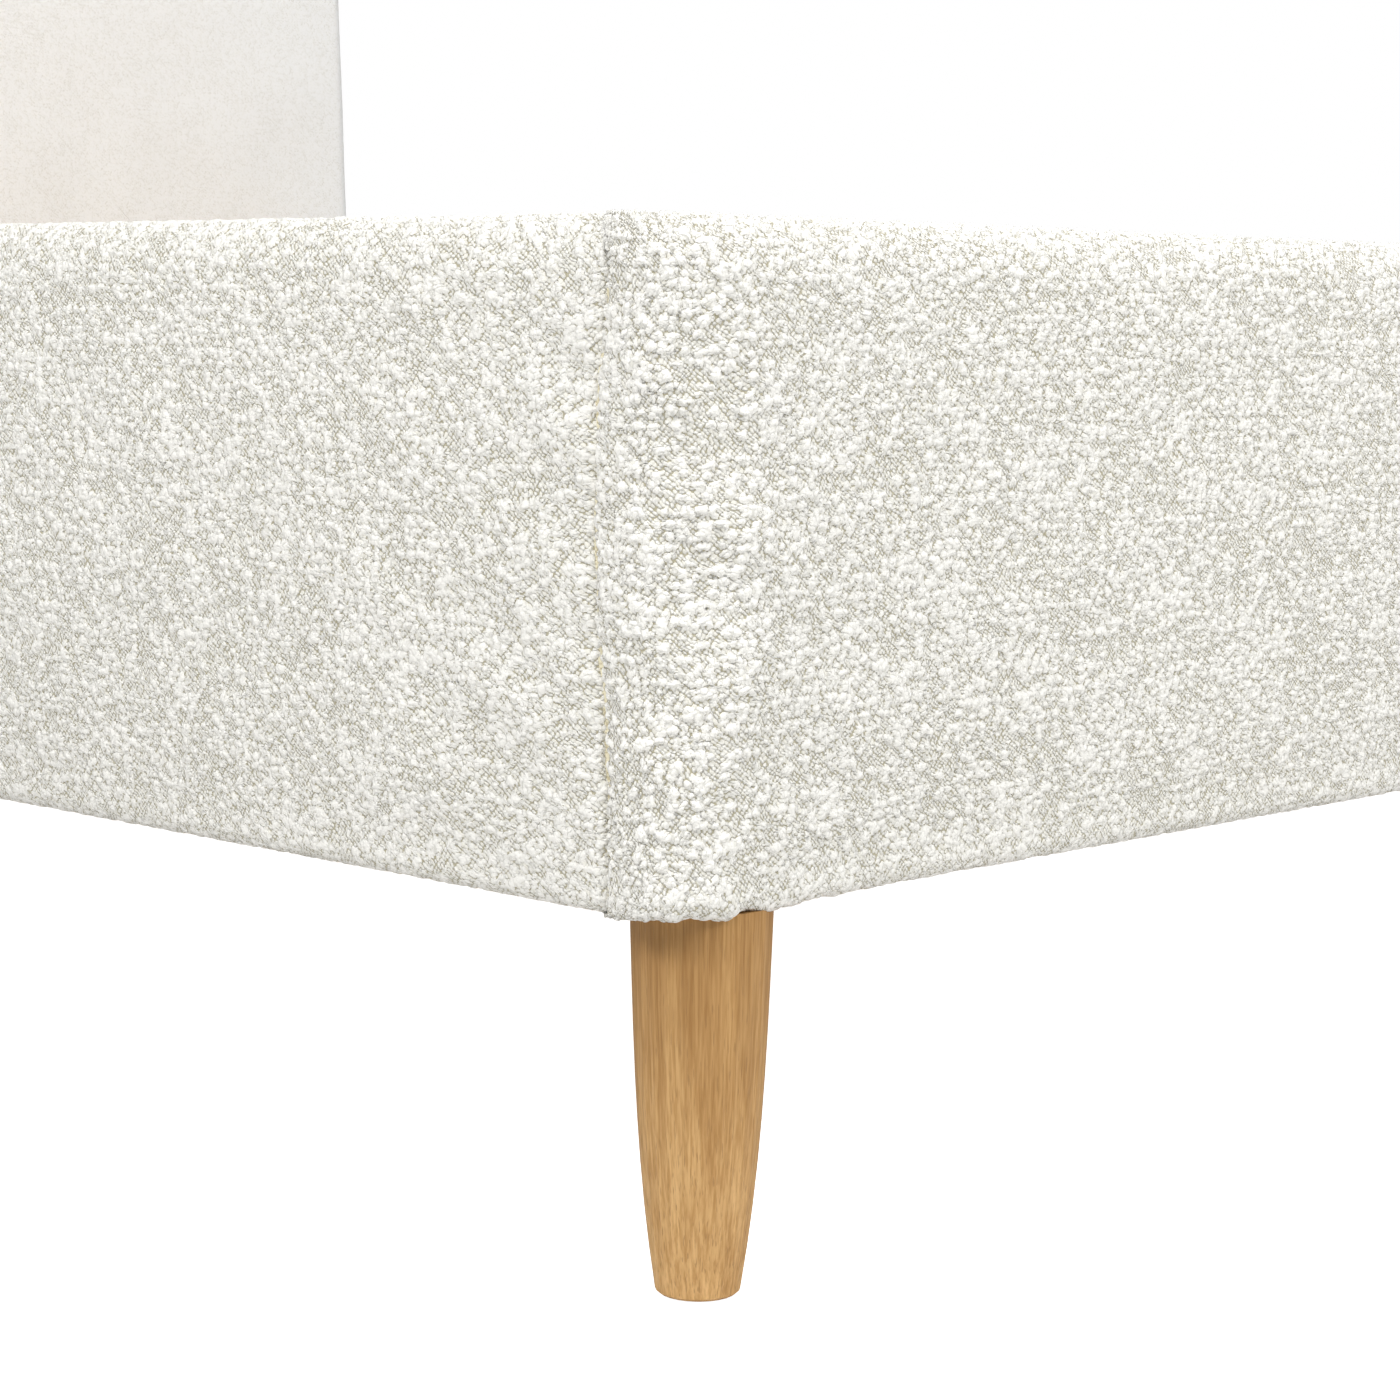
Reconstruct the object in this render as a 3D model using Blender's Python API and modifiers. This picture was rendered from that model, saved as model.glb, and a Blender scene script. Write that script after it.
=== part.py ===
"""Queen-size upholstered bed: raked padded headboard, padded rails on turned oak legs, slatted base.

The bed lies along Y, its foot at -Y and its head at +Y, and stands on the plane z = 0. The origin is the
centre of its footprint. Every rail, and the headboard, is a timber core with a foam pad and a sewn cover.
The cover is open at the back of the pad, where its edges turn in over the core.
Run: blender --background --python part.py
"""

import math

import bmesh
import bpy

# Mattress and the room round it
MATTRESS_WIDTH = 1.524
MATTRESS_LENGTH = 2.032
SIDE_CLEARANCE = 0.009
END_CLEARANCE = 0.019

# Upholstery, from the outer face inwards
GAP = 0.0003
SKIN = 0.002
RAIL_FOAM = 0.0191
RAIL_CORE = 0.025
COVER_RETURN = 0.028

# Rails
LEG_HEIGHT = 0.156
RAIL_HEIGHT = 0.265
RAIL_THICKNESS = 2 * SKIN + 3 * GAP + RAIL_FOAM + RAIL_CORE
RAIL_TOP_RADIUS = 0.020
RAIL_BOTTOM_RADIUS = 0.008
FOOT_CORNER_RADIUS = 0.040
CORE_TOP_PAD = 0.012
CORE_BOTTOM_PAD = 0.008
FOOT_CORE_END_PAD = 0.030
SIDE_CORE_END_PAD = SKIN + GAP

# Headboard
HEADBOARD_TOP = 1.200
HEADBOARD_THICKNESS = 0.090
HEADBOARD_PANEL = 0.018
HEADBOARD_EDGE_RADIUS = 0.020
HEADBOARD_CORNER_RADIUS = 0.040
HEADBOARD_PANEL_INSET = 0.016
RAKE = math.radians(3)
DUST_COVER = 0.0012
DUST_COVER_MARGIN = 0.042

# Turned legs
LEG_TOP_RADIUS = 0.0282
LEG_TAPER = 0.0050
LEG_BELLY = 0.0066
LEG_BELLY_POWER = 3.2
LEG_CHAMFER = 0.0012
LEG_INSET_ALONG = 0.0515
LEG_INSET_IN = 0.031
GLIDE_RADIUS = 0.011
GLIDE_HEIGHT = 0.0020
GLIDE_PROUD = 0.0005
HANGER_BOLT_REACH = 0.038

# Slatted base
DECK_HEIGHT = 0.310
SLAT_COUNT = 13
SLAT_WIDTH = 0.089
SLAT_THICKNESS = 0.019
SLAT_END_CLEARANCE = 0.004
LEDGER_WIDTH = 0.025
LEDGER_HEIGHT = 0.038
BEAM_WIDTH = 0.038
BEAM_HEIGHT = 0.064
CROSSBAR_THICKNESS = 0.022
CROSSBAR_HEIGHT = 0.110

# Steel fittings
BRACKET_FLANGE = 0.060
BRACKET_HEIGHT = 0.062
BRACKET_STEEL = 0.003
HANGER_DEPTH = 0.036
HANGER_FLANGE = 0.016
BOLT_RADIUS = 0.004
BOLT_CLEARANCE = 0.0004
BOLT_HEAD_RADIUS = 0.0075
BOLT_HEAD_HEIGHT = 0.0053

# Centre legs and their levelling feet
CENTRE_LEG_RADIUS = 0.020
CENTRE_LEG_BOTTOM = 0.034
CENTRE_LEG_SPACING = 0.700
LEVELLER_PAD_RADIUS = 0.019
LEVELLER_PAD_HEIGHT = 0.011
LEVELLER_STEM_TOP = 0.078
LEVELLER_BORE_TOP = 0.092
LEVELLER_HEX_BOTTOM = 0.0125
LEVELLER_HEX_HEIGHT = 0.006
LEVELLER_SOCKET_FLOOR = 0.004

ROUND_STEPS = 24
BOLT_STEPS = 12
ARC_SEGMENTS = 4
CUTTER_MARGIN = 0.010
MERGE = 0.00005
TINY = 0.00001

# Places that follow from the sizes above
WIDTH = MATTRESS_WIDTH + 2 * SIDE_CLEARANCE + 2 * RAIL_THICKNESS
INNER_HALF_WIDTH = WIDTH / 2 - RAIL_THICKNESS
RAIL_TOP = LEG_HEIGHT + RAIL_HEIGHT
FACE_DISTANCE = RAIL_THICKNESS + MATTRESS_LENGTH + END_CLEARANCE
HEADBOARD_BOTTOM = LEG_HEIGHT + HEADBOARD_THICKNESS * math.sin(RAKE)
HEADBOARD_LENGTH = (HEADBOARD_TOP - HEADBOARD_BOTTOM) / math.cos(RAKE)
DEPTH = (
    FACE_DISTANCE
    - (RAIL_TOP - HEADBOARD_BOTTOM) * math.tan(RAKE)
    + HEADBOARD_LENGTH * math.sin(RAKE)
    + HEADBOARD_THICKNESS * math.cos(RAKE)
)
FOOT_Y = -DEPTH / 2
FOOT_INNER_Y = FOOT_Y + RAIL_THICKNESS
SLAT_BOTTOM = DECK_HEIGHT - SLAT_THICKNESS
BEAM_BOTTOM = SLAT_BOTTOM - GAP - BEAM_HEIGHT
CORE_OUTER = SKIN + 2 * GAP + RAIL_FOAM
CORE_INNER = CORE_OUTER + RAIL_CORE
BRACKET_TOP = SLAT_BOTTOM - GAP - LEDGER_HEIGHT - 0.003
BRACKET_BOTTOM = BRACKET_TOP - BRACKET_HEIGHT
BRACKET_MIDDLE = BRACKET_TOP - BRACKET_HEIGHT / 2


def face_y(z):
    """Where the headboard's raked front face is, at height z."""
    return FOOT_Y + FACE_DISTANCE - (RAIL_TOP - z) * math.tan(RAKE)


CROSSBAR_BOTTOM = SLAT_BOTTOM - GAP - CROSSBAR_HEIGHT
CROSSBAR_BACK = face_y(CROSSBAR_BOTTOM) - 2 * GAP
CROSSBAR_FRONT = CROSSBAR_BACK - CROSSBAR_THICKNESS


def new_collection(name):
    collection = bpy.data.collections.new(name)
    bpy.context.scene.collection.children.link(collection)
    return collection


def clear_scene():
    for obj in list(bpy.data.objects):
        bpy.data.objects.remove(obj)


def material(name, colour, roughness, metallic=0.0):
    made = bpy.data.materials.new(name)
    made.use_nodes = True
    shader = made.node_tree.nodes["Principled BSDF"]
    shader.inputs["Base Color"].default_value = (*colour, 1.0)
    shader.inputs["Roughness"].default_value = roughness
    shader.inputs["Metallic"].default_value = metallic
    return made


clear_scene()
BED = new_collection("upholstered_bed")
CUTTERS = new_collection("cutters")

BOUCLE = material("boucle", (0.78, 0.76, 0.70), 0.95)
FOAM = material("foam", (0.86, 0.80, 0.62), 0.90)
OAK = material("oak", (0.50, 0.31, 0.13), 0.45)
PINE = material("pine", (0.68, 0.50, 0.30), 0.60)
PLYWOOD = material("plywood", (0.60, 0.44, 0.27), 0.65)
STEEL = material("zinc_steel", (0.62, 0.62, 0.60), 0.35, 1.0)
NYLON = material("nylon", (0.76, 0.75, 0.71), 0.50)
FELT = material("dust_cover_cloth", (0.03, 0.03, 0.03), 0.95)


def place(name, mesh, look, location=(0, 0, 0), parent=None, collection=BED):
    """Puts a mesh in the scene as a named object, at a place in its parent's frame."""
    obj = bpy.data.objects.new(name, mesh)
    collection.objects.link(obj)
    if look:
        mesh.materials.append(look)
    obj.location = location
    obj.parent = parent
    return obj


def mesh_of(name, bm):
    mesh = bpy.data.meshes.new(name)
    bm.to_mesh(mesh)
    bm.free()
    return mesh


def block(low, high):
    """A bmesh box between two corners."""
    bm = bmesh.new()
    bmesh.ops.create_cube(bm, size=1)
    for vert in bm.verts:
        vert.co = [low[i] if vert.co[i] < 0 else high[i] for i in range(3)]
    return bm


def box(name, low, high, look, location=(0, 0, 0), parent=None, collection=BED):
    return place(name, mesh_of(name, block(low, high)), look, location, parent, collection)


def cutter(name, mesh, location=(0, 0, 0), parent=None):
    """A helper solid that a Boolean takes away or joins on."""
    obj = place(name, mesh, None, location, parent, CUTTERS)
    obj.hide_render = True
    obj.display_type = "WIRE"
    return obj


def boolean(obj, helper, operation):
    change = obj.modifiers.new(f"{operation.lower()}_{helper.name}", "BOOLEAN")
    change.operation = operation
    change.object = helper
    change.solver = "EXACT"


def rod_mesh(name, radius, length, steps, turn_to_y=False):
    """A solid rod up from z = 0, or along +Y from y = 0."""
    bm = bmesh.new()
    bmesh.ops.create_cone(bm, cap_ends=True, segments=steps, radius1=radius, radius2=radius, depth=length)
    for vert in bm.verts:
        x, y, z = vert.co
        vert.co = (x, z + length / 2, -y) if turn_to_y else (x, y, z + length / 2)
    return mesh_of(name, bm)


def turned(name, profile, look, location, steps=ROUND_STEPS):
    """A lathe-turned piece: the profile's (radius, height) points swept about Z, from top to bottom."""
    mesh = bpy.data.meshes.new(name)
    points = [(radius, 0, height) for radius, height in profile]
    mesh.from_pydata(points, [(i, i + 1) for i in range(len(points) - 1)], [])
    obj = place(name, mesh, look, location)
    sweep = obj.modifiers.new("turn", "SCREW")
    sweep.steps = sweep.render_steps = steps
    sweep.use_merge_vertices = True
    sweep.merge_threshold = MERGE
    sweep.use_smooth_shade = True
    return obj


def near(a, b):
    return abs(a - b) < TINY


def round_edges(bm, edges, radius):
    bmesh.ops.bevel(bm, geom=edges, offset=radius, segments=ARC_SEGMENTS, profile=0.5, affect="EDGES")


def bevel_where(bm, chosen, radius):
    """Rounds the edges whose two ends both pass the test."""
    round_edges(bm, [edge for edge in bm.edges if all(chosen(vert.co) for vert in edge.verts)], radius)


def round_rail_edges(bm, level, front, back, ends_show, radius):
    """Rounds the edges at one level: the long front edge, and the ends' edges too where the ends show."""
    edges = []
    for edge in (edge for edge in bm.edges if all(near(vert.co.z, level) for vert in edge.verts)):
        at_front = all(near(vert.co.y, front) for vert in edge.verts)
        at_back = all(near(vert.co.y, back) for vert in edge.verts)
        if at_front or (ends_show and not at_back):
            edges.append(edge)
    round_edges(bm, edges, radius)


def rail_form(half_length, inset, depth, corner_radius):
    """The outer form of a rail, length along X: outer face at y = inset, back at y = depth."""
    low, high = inset, RAIL_HEIGHT - inset
    bm = block((-half_length + inset, inset, low), (half_length - inset, depth, high))
    if corner_radius:
        for end in (-1, 1):
            face = end * (half_length - inset)
            bevel_where(
                bm, lambda co, face=face: near(co.x, face) and near(co.y, inset), corner_radius - inset
            )
    round_rail_edges(bm, low, inset, depth, corner_radius, RAIL_BOTTOM_RADIUS - inset)
    round_rail_edges(bm, high, inset, depth, corner_radius, RAIL_TOP_RADIUS - inset)
    return bm


def headboard_form(inset, depth):
    """The outer form of the headboard in its own raked frame: front at y = inset, back at y = depth."""
    half, low, high = WIDTH / 2 - inset, inset, HEADBOARD_LENGTH - inset
    bm = block((-half, inset, low), (half, depth, high))
    corner_radius = HEADBOARD_CORNER_RADIUS - inset
    for end in (-1, 1):
        bevel_where(
            bm, lambda co, end=end: near(co.x, end * half) and near(co.z, high), corner_radius
        )
    bevel_where(bm, lambda co: near(co.y, inset), HEADBOARD_EDGE_RADIUS - inset)
    return bm


def open_back(bm, depth, middle_z):
    """Takes out the face at the back and turns the cover's edges in over the core."""
    back = [face for face in bm.faces if all(near(vert.co.y, depth) for vert in face.verts)]
    bmesh.ops.delete(bm, geom=back, context="FACES_ONLY")
    rim = [edge for edge in bm.edges if edge.is_boundary]
    made = bmesh.ops.extrude_edge_only(bm, edges=rim)["geom"]
    for vert in (item for item in made if isinstance(item, bmesh.types.BMVert)):
        vert.co.x -= math.copysign(COVER_RETURN, vert.co.x)
        vert.co.z -= math.copysign(COVER_RETURN, vert.co.z - middle_z)
    bmesh.ops.recalc_face_normals(bm, faces=bm.faces)


def face_out(bm):
    """Turns an open cover's faces outwards: its front face looks along -Y."""
    front = min(bm.faces, key=lambda face: face.calc_center_median().y)
    if front.normal.y > 0:
        bmesh.ops.reverse_faces(bm, faces=bm.faces)


def rake_end(bm, head_end):
    """Slopes the head end, whose sign along X is head_end, so that it meets the raked headboard."""
    for vert in bm.verts:
        if vert.co.x * head_end > 0:
            vert.co.x += head_end * vert.co.z * math.tan(RAKE)


def skin(obj):
    wall = obj.modifiers.new("wall", "SOLIDIFY")
    wall.thickness = SKIN
    wall.offset = -1
    wall.use_even_offset = True


def rail(name, half_length, location, turn, corner_radius=0.0, core_end_pad=SIDE_CORE_END_PAD, head_end=0):
    """One padded rail: core, foam and cover. In its own frame it lies along X, its outer face at y = 0."""
    frame = bpy.data.objects.new(f"{name}_frame", None)
    BED.objects.link(frame)
    frame.location = location
    frame.rotation_euler.z = turn

    core_half = half_length - core_end_pad
    core_low = (-core_half, CORE_OUTER, CORE_BOTTOM_PAD)
    core_high = (core_half, CORE_INNER, RAIL_HEIGHT - CORE_TOP_PAD)
    core_form = block(core_low, core_high)
    rake_end(core_form, head_end)
    core = place(f"{name}_core", mesh_of(f"{name}_core", core_form), PINE, parent=frame)

    foam_form = rail_form(half_length, SKIN + GAP, CORE_INNER, corner_radius)
    rake_end(foam_form, head_end)
    foam = place(f"{name}_foam", mesh_of(f"{name}_foam", foam_form), FOAM, parent=frame)
    pocket_half = core_half + GAP if corner_radius else half_length + 4 * CUTTER_MARGIN
    pocket = block(
        (-pocket_half, CORE_OUTER - GAP, CORE_BOTTOM_PAD - GAP),
        (pocket_half, CORE_INNER + CUTTER_MARGIN, RAIL_HEIGHT - CORE_TOP_PAD + GAP),
    )
    boolean(foam, cutter(f"{name}_pocket", mesh_of(f"{name}_pocket", pocket), parent=frame), "DIFFERENCE")

    cover_form = rail_form(half_length, 0.0, RAIL_THICKNESS, corner_radius)
    rake_end(cover_form, head_end)
    open_back(cover_form, RAIL_THICKNESS, RAIL_HEIGHT / 2)
    face_out(cover_form)
    cover = place(f"{name}_cover", mesh_of(f"{name}_cover", cover_form), BOUCLE, parent=frame)
    skin(cover)
    return core, foam, cover


def headboard():
    """Plywood panel, foam, sewn cover and the dust cover on its back, all in one raked frame."""
    frame = bpy.data.objects.new("headboard_frame", None)
    BED.objects.link(frame)
    frame.location = (0, face_y(HEADBOARD_BOTTOM), HEADBOARD_BOTTOM)
    frame.rotation_euler.x = -RAKE

    panel_back = HEADBOARD_THICKNESS - SKIN - GAP
    panel_front = panel_back - HEADBOARD_PANEL
    inset = HEADBOARD_PANEL_INSET
    panel = box(
        "headboard_panel",
        (-WIDTH / 2 + inset, panel_front, inset),
        (WIDTH / 2 - inset, panel_back, HEADBOARD_LENGTH - inset),
        PLYWOOD,
        parent=frame,
    )
    foam_form = headboard_form(SKIN + GAP, panel_back)
    foam = place("headboard_foam", mesh_of("headboard_foam", foam_form), FOAM, parent=frame)
    pocket = block(
        (-WIDTH / 2 + inset - GAP, panel_front - GAP, inset - GAP),
        (WIDTH / 2 - inset + GAP, panel_back + CUTTER_MARGIN, HEADBOARD_LENGTH - inset + GAP),
    )
    pocket_cutter = cutter("headboard_pocket", mesh_of("headboard_pocket", pocket), parent=frame)
    boolean(foam, pocket_cutter, "DIFFERENCE")

    cover_form = headboard_form(0.0, HEADBOARD_THICKNESS)
    open_back(cover_form, HEADBOARD_THICKNESS, HEADBOARD_LENGTH / 2)
    face_out(cover_form)
    cover = place("headboard_cover", mesh_of("headboard_cover", cover_form), BOUCLE, parent=frame)
    skin(cover)

    margin = DUST_COVER_MARGIN
    box(
        "headboard_dust_cover",
        (-WIDTH / 2 + margin, panel_back + GAP, margin),
        (WIDTH / 2 - margin, panel_back + GAP + DUST_COVER, HEADBOARD_LENGTH - margin),
        FELT,
        parent=frame,
    )
    return panel, foam, cover


def leg_radius(height):
    """The leg's turned outline: a slow taper at the top that quickens towards the floor."""
    down = 1 - height / LEG_HEIGHT
    return LEG_TOP_RADIUS - LEG_TAPER * down - LEG_BELLY * down**LEG_BELLY_POWER


def corner_leg(name, x, y, held_by):
    """A turned leg, its glide let into its foot, and its hanger bolt, screwed up into a rail's core."""
    bottom, top = GLIDE_PROUD, LEG_HEIGHT - GAP
    bore = BOLT_RADIUS + BOLT_CLEARANCE
    bore_floor = LEG_HEIGHT - HANGER_BOLT_REACH - GAP
    rings = 9
    heights = [top + (bottom + LEG_CHAMFER - top) * i / rings for i in range(rings + 1)]
    profile = [(0, bore_floor), (bore, bore_floor), (bore, top)]
    profile += [(leg_radius(height), height) for height in heights]
    recess, recess_top = GLIDE_RADIUS + GAP, GLIDE_HEIGHT + GAP
    profile += [(leg_radius(bottom) - LEG_CHAMFER, bottom)]
    profile += [(recess, bottom), (recess, recess_top), (0, recess_top)]
    turned(f"leg_{name}", profile, OAK, (x, y, 0))

    glide = rod_mesh(f"leg_glide_{name}", GLIDE_RADIUS, GLIDE_HEIGHT, ROUND_STEPS)
    place(f"leg_glide_{name}", glide, NYLON, (x, y, 0))

    reach = HANGER_BOLT_REACH
    bolt = rod_mesh(f"hanger_bolt_{name}", BOLT_RADIUS, 2 * reach, BOLT_STEPS)
    place(f"hanger_bolt_{name}", bolt, STEEL, (x, y, LEG_HEIGHT - reach))
    hole_mesh = rod_mesh(f"hanger_hole_{name}", bore, reach + CUTTER_MARGIN + GAP, BOLT_STEPS)
    hole = cutter(f"hanger_hole_{name}", hole_mesh, (x, y, LEG_HEIGHT - CUTTER_MARGIN))
    for piece in held_by:
        boolean(piece, hole, "DIFFERENCE")


def hex_bolt(name, x, head_y, length, height, pierced):
    """A hexagon-head bolt along Y, and its clearance hole through each of the pieces that it pierces.

    head_y is where the head bears, and the shank runs from there for length, whose sign is its way along Y.
    """
    way = math.copysign(1, length)
    reach = abs(length)
    shank_start = head_y if way > 0 else head_y - reach
    head_start = head_y - BOLT_HEAD_HEIGHT if way > 0 else head_y
    shank_mesh = rod_mesh(name, BOLT_RADIUS, reach + BOLT_HEAD_HEIGHT / 2, BOLT_STEPS, turn_to_y=True)
    start = shank_start - (BOLT_HEAD_HEIGHT / 2 if way > 0 else 0)
    shank = place(name, shank_mesh, STEEL, (x, start, height))
    head_mesh = rod_mesh(f"{name}_head", BOLT_HEAD_RADIUS, BOLT_HEAD_HEIGHT, 6, turn_to_y=True)
    boolean(shank, cutter(f"{name}_head", head_mesh, (x, head_start, height)), "UNION")

    bore = BOLT_RADIUS + BOLT_CLEARANCE
    hole_mesh = rod_mesh(f"{name}_hole", bore, reach + 2 * GAP, BOLT_STEPS, turn_to_y=True)
    hole = cutter(f"{name}_hole", hole_mesh, (x, shank_start - GAP, height))
    for piece in pierced:
        boolean(piece, hole, "DIFFERENCE")


def corner_bracket(name, side, corner_y, way):
    """A steel angle in a corner of the frame. way is +1 where its flange runs towards the head."""
    outer_x = side * (INNER_HALF_WIDTH - GAP)
    outline = [
        (0, 0),
        (BRACKET_FLANGE, 0),
        (BRACKET_FLANGE, BRACKET_STEEL),
        (BRACKET_STEEL, BRACKET_STEEL),
        (BRACKET_STEEL, BRACKET_FLANGE),
        (0, BRACKET_FLANGE),
    ]
    bm = bmesh.new()
    corners = [bm.verts.new((-side * along, way * across, 0)) for along, across in outline]
    plate = bm.faces.new(corners)
    raised = bmesh.ops.extrude_face_region(bm, geom=[plate])["geom"]
    for vert in (item for item in raised if isinstance(item, bmesh.types.BMVert)):
        vert.co.z = BRACKET_HEIGHT
    bmesh.ops.recalc_face_normals(bm, faces=bm.faces)
    full_name = f"corner_bracket_{name}"
    return place(full_name, mesh_of(full_name, bm), STEEL, (outer_x, corner_y, BRACKET_BOTTOM))


def beam_hanger(name, face, way):
    """A folded steel saddle for one end of the centre beam. way points from its back plate to the beam."""
    half = BEAM_WIDTH / 2 + 2 * GAP
    outer = half + BRACKET_STEEL
    low = BEAM_BOTTOM - 2 * GAP - BRACKET_STEEL
    high = SLAT_BOTTOM - 2 * GAP - BRACKET_STEEL
    front = face + way * BRACKET_STEEL
    reach = face + way * HANGER_DEPTH
    sides = sorted((face, reach))
    back = sorted((face, front))
    hanger = box(
        f"beam_hanger_{name}",
        (-outer - HANGER_FLANGE, back[0], low),
        (outer + HANGER_FLANGE, back[1], high),
        STEEL,
    )
    cup_form = block((-outer, sides[0], low), (outer, sides[1], high))
    cup = cutter(f"hanger_cup_{name}", mesh_of("cup", cup_form))
    hollow_ends = sorted((front, reach + way * CUTTER_MARGIN))
    hollow_low = (-half, hollow_ends[0], low + BRACKET_STEEL)
    hollow_form = block(hollow_low, (half, hollow_ends[1], high + CUTTER_MARGIN))
    hollow = cutter(f"hanger_hollow_{name}", mesh_of("hollow", hollow_form))
    boolean(hanger, cup, "UNION")
    boolean(hanger, hollow, "DIFFERENCE")


def centre_leg(name, y, beam):
    """A plain turned post under the beam, with a levelling foot that winds in and out of its lower end."""
    bore = BOLT_RADIUS + BOLT_CLEARANCE
    top = BEAM_BOTTOM - GAP
    bolt_floor = top - HANGER_BOLT_REACH
    turned(
        f"centre_leg_{name}",
        [
            (0, bolt_floor),
            (bore, bolt_floor),
            (bore, top),
            (CENTRE_LEG_RADIUS, top),
            (CENTRE_LEG_RADIUS, CENTRE_LEG_BOTTOM + LEG_CHAMFER),
            (CENTRE_LEG_RADIUS - LEG_CHAMFER, CENTRE_LEG_BOTTOM),
            (bore, CENTRE_LEG_BOTTOM),
            (bore, LEVELLER_BORE_TOP),
            (0, LEVELLER_BORE_TOP),
        ],
        PINE,
        (0, y, 0),
    )
    bolt = rod_mesh(f"centre_leg_bolt_{name}", BOLT_RADIUS, 2 * HANGER_BOLT_REACH - 4 * GAP, BOLT_STEPS)
    place(f"centre_leg_bolt_{name}", bolt, STEEL, (0, y, top - HANGER_BOLT_REACH + 2 * GAP))
    hole_mesh = rod_mesh(f"centre_bolt_hole_{name}", bore, HANGER_BOLT_REACH + CUTTER_MARGIN, BOLT_STEPS)
    hole = cutter(f"centre_bolt_hole_{name}", hole_mesh, (0, y, BEAM_BOTTOM - CUTTER_MARGIN))
    boolean(beam, hole, "DIFFERENCE")

    socket = BOLT_RADIUS + BOLT_CLEARANCE
    neck_radius, rim_height = 0.009, 0.004
    turned(
        f"leveller_pad_{name}",
        [
            (0, LEVELLER_SOCKET_FLOOR),
            (socket, LEVELLER_SOCKET_FLOOR),
            (socket, LEVELLER_PAD_HEIGHT),
            (neck_radius, LEVELLER_PAD_HEIGHT),
            (LEVELLER_PAD_RADIUS, rim_height),
            (LEVELLER_PAD_RADIUS, 0),
            (0, 0),
        ],
        NYLON,
        (0, y, 0),
    )
    stem_bottom = LEVELLER_SOCKET_FLOOR + GAP
    stem_mesh = rod_mesh(f"leveller_stem_{name}", BOLT_RADIUS, LEVELLER_STEM_TOP - stem_bottom, BOLT_STEPS)
    stem = place(f"leveller_stem_{name}", stem_mesh, STEEL, (0, y, stem_bottom))
    hex_mesh = rod_mesh(f"leveller_hex_{name}", BOLT_HEAD_RADIUS, LEVELLER_HEX_HEIGHT, 6)
    boolean(stem, cutter(f"leveller_hex_{name}", hex_mesh, (0, y, LEVELLER_HEX_BOTTOM)), "UNION")


def rails():
    """The foot rail across the foot, and two side rails from its back to the headboard."""
    foot = rail(
        "foot_rail",
        WIDTH / 2,
        (0, FOOT_Y, LEG_HEIGHT),
        0.0,
        corner_radius=FOOT_CORNER_RADIUS,
        core_end_pad=FOOT_CORE_END_PAD,
    )
    foot_end = FOOT_INNER_Y + GAP
    head_end = face_y(LEG_HEIGHT) - 2 * GAP
    middle, half = (foot_end + head_end) / 2, (head_end - foot_end) / 2
    left = rail("side_rail_left", half, (-WIDTH / 2, middle, LEG_HEIGHT), -math.pi / 2, head_end=-1)
    right = rail("side_rail_right", half, (WIDTH / 2, middle, LEG_HEIGHT), math.pi / 2, head_end=1)
    return foot, left, right


def slatted_base():
    """Ledgers on the side rails, the crossbar at the head, the centre beam and the slats on top of them."""
    ledger_x = INNER_HALF_WIDTH + RAIL_THICKNESS - CORE_INNER - GAP
    ledger_top = SLAT_BOTTOM - GAP
    foot_end = FOOT_INNER_Y + COVER_RETURN + 3 * GAP
    head_end = CROSSBAR_BACK - COVER_RETURN - GAP
    for name, side in (("left", -1), ("right", 1)):
        across = sorted((side * ledger_x, side * (ledger_x - LEDGER_WIDTH)))
        low = (across[0], foot_end, ledger_top - LEDGER_HEIGHT)
        box(f"slat_ledger_{name}", low, (across[1], head_end, ledger_top), PINE)

    crossbar_half = INNER_HALF_WIDTH - GAP
    crossbar = box(
        "head_crossbar",
        (-crossbar_half, CROSSBAR_FRONT, CROSSBAR_BOTTOM),
        (crossbar_half, CROSSBAR_BACK, ledger_top),
        PINE,
    )
    beam_half = BEAM_WIDTH / 2
    foot_face = FOOT_Y + CORE_INNER + GAP
    ends = (foot_face + BRACKET_STEEL + 2 * GAP, CROSSBAR_FRONT - BRACKET_STEEL - 3 * GAP)
    beam = box("centre_beam", (-beam_half, ends[0], BEAM_BOTTOM), (beam_half, ends[1], ledger_top), PINE)
    beam_hanger("foot", foot_face, 1)
    beam_hanger("head", CROSSBAR_FRONT - GAP, -1)

    slat_half = INNER_HALF_WIDTH - SLAT_END_CLEARANCE
    first = FOOT_INNER_Y + 0.018
    last = CROSSBAR_BACK - 0.004 - SLAT_WIDTH
    for number in range(SLAT_COUNT):
        start = first + (last - first) * number / (SLAT_COUNT - 1)
        low = (-slat_half, start, SLAT_BOTTOM)
        box(f"slat_{number + 1:02d}", low, (slat_half, start + SLAT_WIDTH, DECK_HEIGHT), PINE)
    return crossbar, beam


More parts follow.
